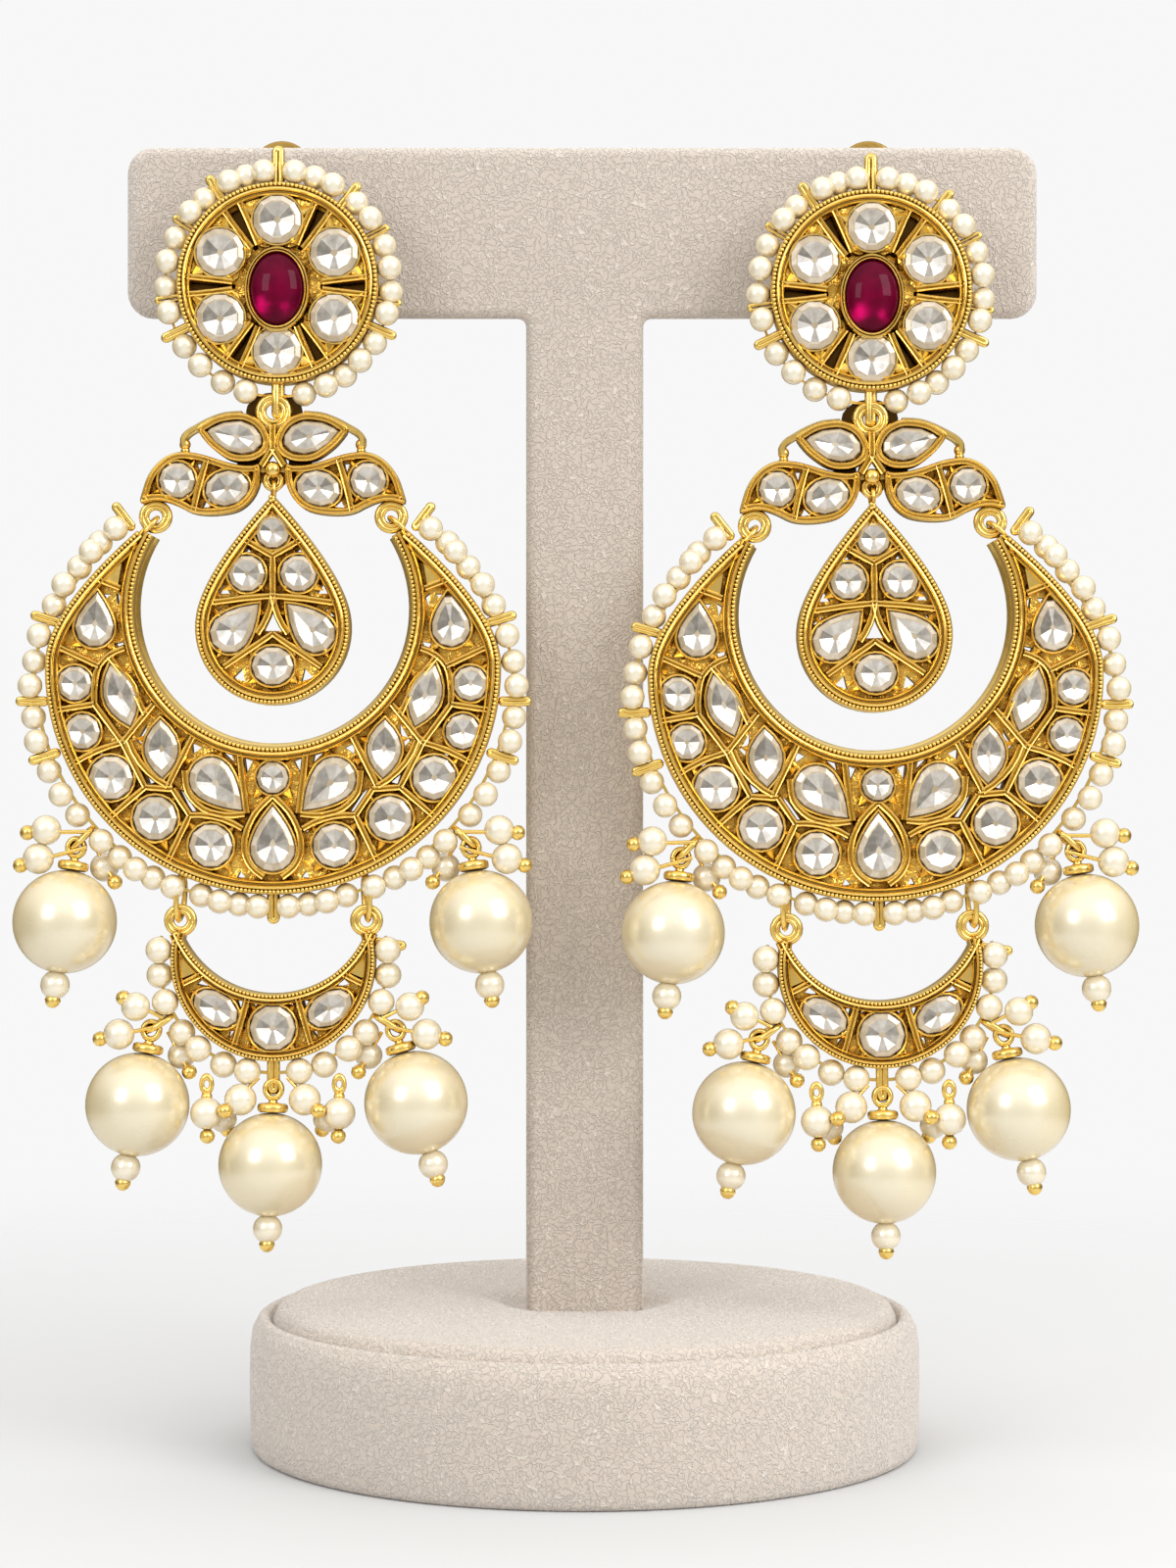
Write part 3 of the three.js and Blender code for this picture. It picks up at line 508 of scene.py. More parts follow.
BEZEL_SECTION = [(0, -1.6), (0, 0.5), (0.1, 0.72), (0.22, 0.72), (0.3, 0.55), (0.36, 0.75), (0.48, 0.85),
                 (0.58, 0.75), (0.62, -1.6)]
moulding(stud, [BEZEL], BEZEL_SECTION, closed=True, back=-1)
plate(bed, [BEZEL], -0.9, 0.5)

for part in (stud, bed):
    bmesh.ops.translate(part, verts=part.verts, vec=(0, 0, PATTERN_SHIFT))
moulding(stud, [whole_circle(0, 0, STUD_OUTER, 96)], STUD_SECTION, closed=True)
grains(stud, arc(0, 0, STUD_OUTER, 0, 360, 144), 0.25, 0.425, aside=0.27)

# Wire loops over the row of seed pearls: degrees clockwise from the top, with length and wire.
SEED_LINE = 10.9
LOOP_FOOT = 9.5
STUD_LOOPS = [(clockwise, 2.75, 0.29) for clockwise in (39, 114.4, -33.3, -115.7)]
STUD_WIRES = [(clockwise, 2.4, 0.2) for clockwise in (62.6, -57.5, 99, -98)]
for clockwise, length, wire in STUD_LOOPS + STUD_WIRES:
    hairpin(stud, *outward(0, 0, 90 - clockwise, LOOP_FOOT), 90 - clockwise, length, wire)
hairpin(stud, 0, 9.6, 90, 3.45, 0.36, spread=0.32)
ring(stud, standing(0, 0.2, 0), SEED_LINE, 0.14, steps=120, sides=6)
hairpin(stud, 0, -9.2, -90, 3.6, 0.42, spread=0.32, lean=40)
pair_of("stud_frame", stud, gold, "gold", STUD_PLACE, "stand_and_studs", "{side}_stud_frame", smooth=50)
pair_of("stud_bed", bed, bed_gold, "gold", STUD_PLACE, "stand_and_studs")
# A near-black sheet behind the pierced plate: painted shadow that shows in the slits.
shade_backing = bmesh.new()
plate(shade_backing, [whole_circle(0, 0, 8.6, 48)], 0.62, 0.95)
pair_of("stud_shade_backing", shade_backing, dark_gold, "gold", STUD_PLACE, "stand_and_studs")

# ---- Stud stones -----------------------------------------------------------------------------
# Six flat polki of clear stone over bright foil, and an oval ruby cabochon. The light that the foil
# throws back through the facets is painted on them, brighter below and darker to the sides, and the
# facets meet in a point under a thin table ring. The ruby's inner glow is painted too.

# Each step of the cut: its share of the outline, and its height over the girdle.
CUT = [(0.95, -0.2), (0.76, -0.42), (0.7, -0.42)]
# Painted glints: how brightly an inner facet shines, up to each heading in degrees. A facet of the crown is
# even.
GLINTS = [(12, 0.45), (48, 0.3), (132, 0.6), (188, 0.18), (254, 0.96), (286, 0.4), (342, 0.86), (360, 0.45)]
CROWN_GLINT = 0.6
STONE_SEAT = -0.85
POINT_SUNK = 0.1


def glint(face, tip):
    """A painted glint: how brightly the backing lights one facet, light below and dark to the sides."""
    middle = face.calc_center_median()
    spread = sin(middle.x * 91 + middle.z * 57) * 0.09
    if tip not in face.verts:
        return CROWN_GLINT + 2 * spread
    heading = (atan2(-face.normal.z, -face.normal.x) * 180 / pi + 360) % 360
    return next(shown for until, shown in GLINTS if heading <= until) + spread


def faceted(bm, outline, centre, girdle=STONE_SEAT):
    """A stone with a crown, a table ring and, inside it, facets that meet in a sunk point."""
    x, z = centre
    hub = Matrix.Translation((-x, 0, -z))
    part = bmesh.new()
    shine = part.faces.layers.float.new("shine")
    crown = part.faces.layers.float.new("crown")
    face = part.faces.new([part.verts.new((px, girdle, pz)) for px, pz in outline])
    part.normal_update()
    if face.normal.y > 0:
        face.normal_flip()
    size, depth = 1.0, 0.0
    for share, height in CUT:
        grown = bmesh.ops.extrude_discrete_faces(part, faces=[face])["faces"][0]
        bmesh.ops.scale(part, vec=(share / size, 1, share / size), space=hub, verts=list(grown.verts))
        bmesh.ops.translate(part, vec=(0, height - depth, 0), verts=list(grown.verts))
        face, size, depth = grown, share, height
    tip = bmesh.ops.poke(part, faces=[face])["verts"][0]
    tip.co = (x, girdle + POINT_SUNK, z)
    bmesh.ops.contextual_create(part, geom=[e for e in part.edges if e.is_boundary])
    part.normal_update()
    for face in part.faces:
        face[shine] = glint(face, tip)
        face[crown] = 0 if tip in face.verts else 1
    put(bm, part)


def attribute(tree, name):
    return node(tree, "ShaderNodeAttribute", attribute_name=name).outputs["Fac"]


def ramp(tree, value, first, middle, last):
    """A colour for a value, from three stops of a place and a colour."""
    made = node(tree, "ShaderNodeValToRGB", {"Fac": value})
    stops = made.color_ramp.elements
    for stop, (place, colour) in zip(stops, (first, last)):
        stop.position, stop.color = place, colour
    stops.new(middle[0]).color = middle[1]
    return made.outputs["Color"]


polki_foil, tree, shader = finish_of(
    "polki", Metallic=0.2, IOR=1.55, Coat_Weight=1.0, Coat_Roughness=0.03)
# The facets' colour carries the painted glints, varied by a noise of painted inner light.
painted_glint = attribute(tree, "shine")
inner_light = noise(tree, own_place(tree), 1400.0, 2.0)["Fac"]
shown = reckoned(tree, "ADD", painted_glint, ranged(tree, inner_light, 0.0, 1.0, -0.3, 0.3))
glint_colour = ramp(tree, shown, (0.05, (0.19, 0.17, 0.14, 1)), (0.6, (0.57, 0.52, 0.45, 1)),
             (1.0, (0.95, 0.925, 0.88, 1)))
# A painted reflection of the gold setting warms the crown facets.
painted_gold_reflection = reckoned(tree, "MULTIPLY", attribute(tree, "crown"), 0.34)
tree.links.new(mixed(tree, painted_gold_reflection, glint_colour, (0.62, 0.4, 0.1, 1)), shader.inputs["Base Color"])
tree.links.new(ranged(tree, inner_light, 0.3, 0.7, 0.06, 0.2), shader.inputs["Roughness"])

for i, turn in enumerate(SIXTHS):
    polki = bmesh.new()
    x, z = turned_about([(0, PETAL_CENTRE)], -turn)[0]
    z += PATTERN_SHIFT
    faceted(polki, arc(x, z, POLKI_RADIUS, 15, 375, 12)[:-1], (x, z), girdle=PETAL_SEAT)
    pair_of(f"polki_{i + 1}", polki, polki_foil, "polki", STUD_PLACE, "stand_and_studs",
            f"{{side}}_polki_{i + 1}", smooth=0)

RUBY_HALF = (2.66, 1.55, 3.52)
RUBY_Z = RUBY_SHIFT + PATTERN_SHIFT


def pool(x, z, at_x, at_z, width, height, strength):
    """A soft painted pool of light inside the ruby."""
    return strength * exp(-((x - at_x) / width) ** 2 - ((z - at_z) / height) ** 2)


ruby = bmesh.new()
cabochon = bmesh.new()
bmesh.ops.create_uvsphere(cabochon, u_segments=48, v_segments=32, radius=1)
bmesh.ops.scale(cabochon, vec=RUBY_HALF, verts=cabochon.verts)
bmesh.ops.bisect_plane(cabochon, geom=cabochon.verts[:] + cabochon.edges[:] + cabochon.faces[:],
                       plane_co=(0, 0.1, 0), plane_no=(0, 1, 0), clear_outer=True)
bmesh.ops.contextual_create(cabochon, geom=[e for e in cabochon.edges if e.is_boundary])
put(ruby, cabochon, Matrix.Translation((0, -1.2, RUBY_Z)))
# The ruby's colour carries painted light: two pools of light low inside it, and painted shade towards its
# rim.
glow = ruby.verts.layers.float.new("glow")
for vertex in ruby.verts:
    x, z = vertex.co.x, vertex.co.z - RUBY_Z
    rim_shade = 0.22 * ((x / RUBY_HALF[0]) ** 2 + (z / RUBY_HALF[2]) ** 2)
    pools = pool(x, z, -1.4, -1.75, 0.75, 0.8, 0.75) + pool(x, z, 1, -2.1, 0.6, 0.6, 0.4)
    vertex[glow] = 0.3 - rim_shade + pools

ruby_red, tree, shader = finish_of("ruby", Roughness=0.04, IOR=1.5, Specular_IOR_Level=0.1)
swirl = ranged(tree, noise(tree, own_place(tree), 900.0, 1.0)["Fac"], 0.3, 0.7, 0.7, 1.3)
lit_within = reckoned(tree, "MULTIPLY", attribute(tree, "glow"), swirl)
red = ramp(tree, lit_within, (0.0, (0.045, 0.0, 0.006, 1)), (0.35, (0.16, 0.0, 0.025, 1)),
           (1.0, (0.75, 0.002, 0.14, 1)))
tree.links.new(red, shader.inputs["Base Color"])
pair_of("ruby", ruby, ruby_red, "ruby", STUD_PLACE, "stand_and_studs", "{side}_ruby", smooth=50)

# ---- Stud seed pearls and ear posts ------------------------------------------------------------
# Twenty-seven seed pearls strung on a wire round the rim, pushed alternately forwards and back.
# Behind the bar, a post and a rounded paddle hold the earring.

nacre, given, result = group_of("nacre", {"Coordinates": None, "Body": WHITE, "Blush": WHITE, "Bloom": 100.0})
bloom = noise(nacre, given["Coordinates"], given["Bloom"], 2.0)["Fac"]
blush = ranged(nacre, bloom, 0.15, 0.85, interpolation="SMOOTHSTEP")
nacre.links.new(mixed(nacre, blush, given["Body"], given["Blush"]), result["Color"])
nacre.links.new(ranged(nacre, bloom, 0.0, 1.0, 0.22, 0.34), result["Roughness"])
nacre.links.new(noise(nacre, given["Coordinates"], 900.0, 1.0)["Fac"], result["Height"])


def pearl_of(name, body, blush, edge, bloom_scale):
    """Nacre under a glossy coat. A painted sheen warms its colour towards the edge."""
    material, tree, shader = surfaced(
        name, nacre, {"Body": body, "Blush": blush, "Bloom": bloom_scale}, 0.05, 0.00001,
        Metallic=0.2, IOR=1.6, Coat_Weight=1.0, Coat_Roughness=0.2, Coat_IOR=2.2)
    # The edge colour is a painted sheen, mixed in where the surface turns away.
    turned_away = node(tree, "ShaderNodeLayerWeight", {"Blend": 0.42}).outputs["Facing"]
    colour = shader.inputs["Base Color"]
    tree.links.new(mixed(tree, turned_away, colour.links[0].from_socket, edge), colour)
    return material


seed_pearl = pearl_of("seed_pearl", (0.94, 0.87, 0.7, 1), (0.92, 0.83, 0.63, 1), (0.74, 0.57, 0.27, 1), 150)
SEED_RADIUS = 1.2
STAGGER = 0.35
STUD_SEEDS = [8.5, 18.7, 29.1, 43.7, 54.9, 69.8, 82, 94, 105.4, 121.2, 133.2, 143.9, 154.8, 166.9,
              -163.4, -150.4, -136.5, -123.3, -104.8, -91.5, -78.7, -65.8, -51, -41.1, -25.7, -16.7, -7.2]


def seed_row(bm, places, radius):
    """Seed pearls on a wire, pushed by turns backwards and forwards."""
    for i, (x, z) in enumerate(places):
        ball(bm, (x, STAGGER if i % 2 else -STAGGER, z), radius)


seeds = bmesh.new()
seed_row(seeds, [outward(0, 0, 90 - clockwise, SEED_LINE) for clockwise in STUD_SEEDS], SEED_RADIUS)
pair_of("stud_seed_pearls", seeds, seed_pearl, "pearl", STUD_PLACE, "stand_and_studs", smooth=180)

PADDLE_TOP, PADDLE_THICK, PADDLE_ASIDE = 131.3, 0.9, 1.2
PIN_RADIUS = 0.5
for side, place in STUD_PLACE.items():
    low, high = (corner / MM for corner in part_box(f"{side}_ear_post"))
    half = (high.x - low.x) / 2
    x = (low.x + high.x) / 2
    x += PADDLE_ASIDE if x > 0 else -PADDLE_ASIDE
    outline = arc(x, PADDLE_TOP - half, half, 0, 180, 16) + arc(x, low.z + half, half, 180, 360, 16)
    post = bmesh.new()
    plate(post, [outline], high.y - PADDLE_THICK, high.y)
    pin_end = high.y - low.y - 0.4
    pin_foot = Matrix.Translation((place.translation.x, low.y, place.translation.z))
    turned(post, [(0, 0), (PIN_RADIUS, 0), (PIN_RADIUS, pin_end), (0, pin_end)], 16,
           pin_foot @ Matrix.Rotation(-pi / 2, 4, "X"))
    paddle_rims = [e for e in post.edges if e.is_manifold and e.calc_face_angle(0) > 1.2
                   and abs(e.verts[0].co.x - x) + abs(e.verts[0].co.z - place.translation.z) > 1.5]
    rounded(post, paddle_rims, 0.25, 3)
    piece(f"{side}_ear_post_and_paddle", post, half_shaded_gold, "gold", "stand_and_studs", f"{side}_ear_post")

# ---- Leaf links ------------------------------------------------------------------------------
# A pair of stone-set leaves over a pair of wings, joined by a short stem. The ring at the top
# hangs on the stud, two rings carry the crescent and a small one in the middle the teardrop.

SHOULDER = 10


def pear(x, z, radius, tip_x, tip_z, tip_angle=40, steps=8):
    """A pear outline: round about its centre, and drawn out to a tip at twice the tip angle."""
    length = hypot(tip_x - x, tip_z - z)
    turn = Matrix.Rotation(atan2(tip_z - z, tip_x - x) - pi / 2, 2)
    s, t = radians(SHOULDER), radians(tip_angle)
    run = (length * sin(t) - radius * cos(s - t)) / sin(t - s)
    start = Vector((radius * cos(s), radius * sin(s)))
    bend = start + run * Vector((-sin(s), cos(s)))
    right = bow(start, bend, (0, length), steps)
    belly = arc(0, 0, radius, 180 - SHOULDER, 360 + SHOULDER, 2 * steps)[1:-1]
    aimed = [turn @ Vector(point) for point in mirrored(right) + belly + right[:-1]]
    return [(x + point.x, z + point.y) for point in aimed]


def oval(x, z, half_x, half_z, turn=0):
    flat = [(half_x * px, half_z * pz) for px, pz in whole_circle(0, 0, 1, 20)]
    return [(x + px, z + pz) for px, pz in turned_about(flat, turn)]


def marquise(x0, z0, x1, z1, half):
    """A boat-shaped outline from tip to tip."""
    away = Vector((z0 - z1, x1 - x0)).normalized() * 2 * half
    middle = Vector(((x0 + x1) / 2, (z0 + z1) / 2))
    return bow((x0, z0), middle - away, (x1, z1), 7)[:-1] + bow((x1, z1), middle + away, (x0, z0), 7)[:-1]


def eased(points, closed=True):
    """The same line, run smoothly through its points in three steps from each to the next."""
    count = len(points)
    line = []
    for i in range(count if closed else count - 1):
        a, b, c, d = (Vector(points[(i + k) % count if closed else min(max(i + k, 0), count - 1)])
                      for k in (-1, 0, 1, 2))
        for t in (0, 1 / 3, 2 / 3):
            line.append(tuple(0.5 * (2 * b + (c - a) * t + (2 * a - 5 * b + 4 * c - d) * t * t
                                     + (3 * b - a - 3 * c + d) * t ** 3)))
    return line if closed else line + [tuple(points[-1])]


def thinned(outline, sides):
    """An outline with about as many corners as a stone has sides. Its first point is kept."""
    step = max(1, round(len(outline) / sides))
    return outline[::step]


def both(items):
    """Outlines on the left, and the same on the right."""
    return [points for outline in items for points in (outline, mirrored(outline))]


STONE_WALL = [(-0.3, -0.9), (-0.29, 0.08), (-0.24, 0.22), (-0.15, 0.28), (-0.06, 0.2), (0, 0.06), (0, -0.9)]
RIDGED_WALL = [(0, -1.3), (0, 0.72), (0.07, 0.9), (0.17, 0.98), (0.27, 0.9), (0.34, 0.74), (0.4, 0.74),
               (0.46, 0.86), (0.55, 0.93), (0.64, 0.85), (0.69, 0.6), (0.69, -1.3)]
LEAF_PETAL = eased([
    (-7.23, -3.04), (-6.51, -4.21), (-5.49, -5.17), (-4.16, -6.02), (-2.82, -6.22), (-1.59, -6.02),
    (-0.67, -5.38), (-0.26, -4.53), (-0.37, -3.57), (-0.99, -2.52), (-2, -1.77), (-3.34, -1.45),
    (-5.18, -1.71), (-6.41, -2.3)])
LEAF_PETAL_STONE = eased([
    (-6.37, -3.3), (-5.82, -4.09), (-5.04, -4.75), (-4.01, -5.32), (-2.99, -5.46), (-2.04, -5.32),
    (-1.33, -4.89), (-1.02, -4.31), (-1.1, -3.66), (-1.57, -2.95), (-2.35, -2.44), (-3.38, -2.22),
    (-4.79, -2.4), (-5.74, -2.8)])
WING = list(reversed(eased([
    (-12.76, -10.15), (-12.47, -8.73), (-12, -7.49), (-11.24, -6.45), (-10.29, -5.69), (-9.06, -5.26),
    (-7.44, -5.36), (-6.02, -5.74), (-4.6, -6.2), (-3.18, -6.5), (-1.94, -6.55), (-1.28, -6.45),
    (-1.23, -7.78), (-1.56, -9.01), (-2.32, -10.15), (-3.46, -10.95), (-5.07, -11.29), (-6.69, -11.33),
    (-7.92, -11.1), (-9.06, -10.53), (-10.29, -10.05), (-11.5, -9.95)])))
WING_HOLES = [[(-6.3, -9.4), (-5.9, -10.5), (-6.9, -10.6)], [(-7.4, -6.3), (-6.9, -6.3), (-7.1, -7.2)]]
WING_RIB = bow((-6.35, -6), (-7.2, -8.6), (-7.65, -11), 5)
WING_STONES = [(oval(-9.22, -8, 1.78, 1.78), (-9.22, -8)), (oval(-4.4, -8.76, 2.2, 1.74, 15), (-4.4, -8.76))]
CURL = eased([(-3, -1.6), (-4.6, -1.72), (-6.02, -2.2), (-7.35, -2.9), (-8.2, -3.42), (-8.62, -4),
              (-8.55, -4.6)], closed=False)
CURL_SECTION = [(-0.34, -0.9), (-0.34, 0.4), (-0.18, 0.72), (0.18, 0.72), (0.34, 0.4), (0.34, -0.9)]
STEM = [(-0.75, -2.6), (0.75, -2.6), (1.1, -5.6), (1.6, -7.2), (-1.6, -7.2), (-1.1, -5.6)]
STEM_HOLE = [(0, -5.15), (-0.75, -6.35), (0.75, -6.35)]
STEM_RIBS = [[(0, -2.6), (0, -4.9)], [(0, -4.9), (-1.1, -6.6)], [(0, -4.9), (1.1, -6.6)]]
STEM_FOOT = [(-1.3, -6.5), (1.3, -6.5), (1.3, -8), (0, -9.2), (-1.3, -8)]
LEAF_CLAWS = [
    (9.9, -6.5, 65, 0.8), (10.6, -8.9, -20, 1.1), (8.1, -6.7, 130, 0.8), (8.3, -9.5, 235, 0.9),
    (6.2, -7.7, 40, 0.5), (2.6, -7.3, 120, 0.9), (5.5, -10.1, -40, 0.9), (3, -9.9, 250, 0.6)]
SIDE_RING = (11.4, -11.45)
SIDE_BALLS = [(8.5, -0.45, -4.5, 0.56), (8.5, -0.3, -5.1, 0.46)]
CLAW_SEAT = -0.75
BED_FRONT, LEAF_BACK = -0.3, 0.9
SHADE_BACKING_FRONT, SHADE_BACKING_BACK = 0.75, 1.15


def claws(bm, rows, width):
    """Claws on both sides. A row is the foot of one, its angle above +X and its length."""
    for x, z, angle, length in rows:
        claw(bm, x, z, angle, length, width, CLAW_SEAT)
        claw(bm, -x, z, 180 - angle, length, width, CLAW_SEAT)


leaf, bed = bmesh.new(), bmesh.new()
for outline in both([LEAF_PETAL]):
    plate(bed, [outline], BED_FRONT, LEAF_BACK)
for wing in ([WING] + WING_HOLES, [mirrored(outline) for outline in [WING] + WING_HOLES]):
    plate(bed, wing, BED_FRONT, LEAF_BACK)
for outline in both([LEAF_PETAL, WING]):
    moulding(leaf, [outline], RIDGED_WALL, closed=True, back=BED_FRONT)
moulding(leaf, both([WING_RIB]), RIDGE, back=RIB_SEAT)
moulding(leaf, both([CURL]), CURL_SECTION, back=BED_FRONT)
for outline in both([outline for outline, _ in WING_STONES]):
    moulding(leaf, [outline], STONE_WALL, closed=True, back=STONE_SEAT)
claws(leaf, LEAF_CLAWS, 0.9)
for side in (-1, 1):
    double_ring(leaf, side * SIDE_RING[0], 0, SIDE_RING[1], (0.9, 0.27), (1.33, 0.31))
    for x, y, z, radius in SIDE_BALLS:
        ball(leaf, (side * x, y, z), radius, 2)
double_ring(leaf, 0, 0, -1.3, (1, 0.3), (1.46, 0.34))
plate(leaf, [STEM, STEM_HOLE], -0.6, 0.6)
moulding(leaf, STEM_RIBS, RIDGE, back=-0.8)
plate(leaf, [STEM_FOOT], 0.2, 0.9)
ball(leaf, (0, -0.75, -6.95), 0.8)
double_ring(leaf, 0, -0.1, -7.95, (0.55, 0.16), (0.85, 0.24))
pair_of("leaf_link_gold", leaf, gold, "gold", DROP_PLACE, "{side}_leaf", "{side}_leaf_link", smooth=50)
pair_of("leaf_link_bed", bed, bed_gold, "gold", DROP_PLACE, "{side}_leaf")
# Near-black sheets behind the top ring and beside the stem: painted shadow in the gaps.
shade_backing = bmesh.new()
plate(shade_backing, [oval(0, -1.2, 2.75, 1.9), oval(0, -0.95, 1.3, 1.5)], SHADE_BACKING_FRONT, SHADE_BACKING_BACK)
for outline in both([[(-3.9, -5.6), (-1.4, -5.4), (-1.4, -6.9), (-3.4, -6.7)]]):
    plate(shade_backing, [outline], SHADE_BACKING_FRONT, SHADE_BACKING_BACK)
pair_of("leaf_link_shade_backing", shade_backing, dark_gold, "gold", DROP_PLACE, "{side}_leaf")


def middle_of(outline):
    return tuple(sum(along) / len(outline) for along in zip(*outline))


leaf_stones = bmesh.new()
for outline in both([thinned(LEAF_PETAL_STONE, 12)]):
    faceted(leaf_stones, outline, (middle_of(outline)[0], -3.75))
for outline, (x, z) in WING_STONES:
    shape = thinned(outline, 10)
    faceted(leaf_stones, shape, (x, z))
    faceted(leaf_stones, mirrored(shape), (-x, z))
pair_of("leaf_stones", leaf_stones, polki_foil, "polki", DROP_PLACE, "{side}_leaf", smooth=0)

# ---- Teardrops -------------------------------------------------------------------------------
# The inner drop swings inside the crescent. Two ridges and a row of milgrain frame seven stones,
# with ridged ribs between them and pierced corners.

SETTING_RIM = [(0, -1.5), (0, 0.9), (0.06, 1.05), (0.46, 1.05), (0.52, 1.28), (0.62, 1.45), (0.76, 1.48),
               (0.88, 1.32), (0.96, 1.02), (1.02, 1.02), (1.1, 1.2), (1.2, 1.28), (1.3, 1.18), (1.36, 0.85),
               (1.36, -1.5)]
TEAR_EDGE = pear(0, -22.2, 7.5, 0, -9.35, tip_angle=42, steps=16)
TEAR_BED = pear(0, -22.2, 6.9, 0, -10.2, tip_angle=42, steps=10)
TEAR_STONES = [
    (oval(0, -12.9, 1.7, 1.7), (0, -12.9)),
    (oval(-2.5, -16.98, 1.8, 1.8), (-2.5, -16.98)),
    (oval(2.5, -16.98, 1.8, 1.8), (2.5, -16.98)),
    (oval(0, -25.9, 2.08, 1.9), (0, -25.9)),
    (pear(-4.15, -22.75, 1.95, -1.35, -19.9), (-3.8, -22.4)),
    (pear(4.15, -22.75, 1.95, 1.35, -19.9), (3.8, -22.4)),
]
TEAR_RIBS = both([
    [(-3.1, -13.5), (0, -15.3)],
    [(-5.9, -19.8), (-3, -19.4), (0, -19.15)],
    bow((0, -19.15), (-0.3, -21.3), (-1.5, -22.8), 4),
    [(-4.7, -26), (0, -22.8)],
]) + [[(0, -15.3), (0, -19.15)]]
TEAR_HOLES = [
    [(0, -20.4), (-0.95, -22.5), (0.95, -22.5)],
    *both([
        [(-3.3, -15.2), (-2.7, -14.3), (-2, -15)],
        [(-5.4, -18.9), (-4.9, -17.7), (-4.2, -18.9)],
        [(-3, -26.1), (-3.9, -27), (-2.7, -27.4)],
        [(-5.9, -21.1), (-5.1, -20.3), (-4.9, -20.9)],
    ]),
]
TEAR_CLAWS = [
    (1.3, -11.9, 55, 0.6), (1.4, -14, -40, 0.7), (1.9, -15.4, 75, 0.7), (4, -18.1, -30, 1),
    (3.9, -16, 40, 0.5), (1.3, -18.2, 235, 0.6), (5.2, -21.1, 60, 0.8), (5, -24.3, -60, 0.9),
    (3.6, -24.8, -100, 0.8), (1.7, -24.9, 40, 0.9), (1.8, -27.1, -40, 0.7), (0.9, -20.9, 60, 0.5),
]
BED_BACK = 1.35


def set_with(bm, ribs, stones, claw_rows, claw_width):
    """The ribs between the stones, the wall round each stone, and the claws."""
    moulding(bm, ribs, RIDGE, back=RIB_SEAT)
    for outline in stones:
        moulding(bm, [outline], STONE_WALL, closed=True, back=STONE_SEAT)
    claws(bm, claw_rows, claw_width)


tear, bed = bmesh.new(), bmesh.new()
plate(bed, [TEAR_BED] + TEAR_HOLES, BED_FRONT, BED_BACK)
moulding(tear, [TEAR_EDGE], SETTING_RIM, closed=True)
grains(tear, TEAR_EDGE + TEAR_EDGE[:1], 0.24, 0.4, aside=0.3)
set_with(tear, TEAR_RIBS, [outline for outline, _ in TEAR_STONES], TEAR_CLAWS, 0.9)
ring(tear, on_edge(0, -8.85, 90, lean=12), 0.62, 0.2, stretch=1.35)
pair_of("teardrop_gold", tear, gold, "gold", DROP_PLACE, "{side}_inner_drop", "{side}_teardrop", smooth=50)
pair_of("teardrop_bed", bed, bed_gold, "gold", DROP_PLACE, "{side}_inner_drop")

tear_stones = bmesh.new()
for outline, centre in TEAR_STONES:
    faceted(tear_stones, thinned(outline, 12), centre)
pair_of("teardrop_stones", tear_stones, polki_foil, "polki", DROP_PLACE, "{side}_inner_drop", smooth=0)

# ---- Crescents -------------------------------------------------------------------------------
# The main crescent hangs by its horns. Twenty-three stones sit in cells of ridged ribs between
# two grained rims, and seed pearls are wired along the outer edge. The lowest pear and the two
# beside the centre are loose stones in their own seats.


def moon_edge(grow, horn, bend):
    """The crescent's outer line from the left horn round to the right, grown outwards."""
    side = -22 - grow
    return (bow((-horn[0], horn[1]), (-bend[0], bend[1]), (side, -26), 12)[:-1]
            + arc(0, -26, 22 + grow, 180, 360, 56) + bow((-side, -26), bend, horn, 12)[1:])


MOON_OUTER = moon_edge(0, (13.1, -12.85), (22.2, -20.9))
MOON_INNER = list(reversed(arc(0, -20.3, 13.4, 31, -211, 64)))
MOON_BED = moon_edge(-0.6, (13.2, -13.9), (20.8, -21.8)) + arc(0, -20.3, 13.9, 27, -207, 48)
MOON_STONES = both([
    pear(-17.2, -22.2, 1.9, -16.9, -18.7),
    oval(-19.1, -27.6, 1.72, 1.72),
    marquise(-15.7, -25.7, -13.7, -31.8, 1.62),
    oval(-18.35, -32.25, 1.75, 1.75),
    marquise(-10.85, -31, -10.65, -36.8, 1.68),
    oval(-15.6, -36.7, 2.18, 2.18),
    oval(-11.33, -40.6, 2.18, 2.18),
    oval(-5.97, -43.25, 2.15, 2.15),
]) + [oval(0, -36.7, 1.58, 1.58)]
MOON_PEARS = {
    "1": pear(0, -43.6, 2.2, 0, -39.3),
    "2": pear(-5.95, -36.8, 2.15, -2.85, -39.9),
    "3": pear(5.95, -36.8, 2.15, 2.85, -39.9),
}
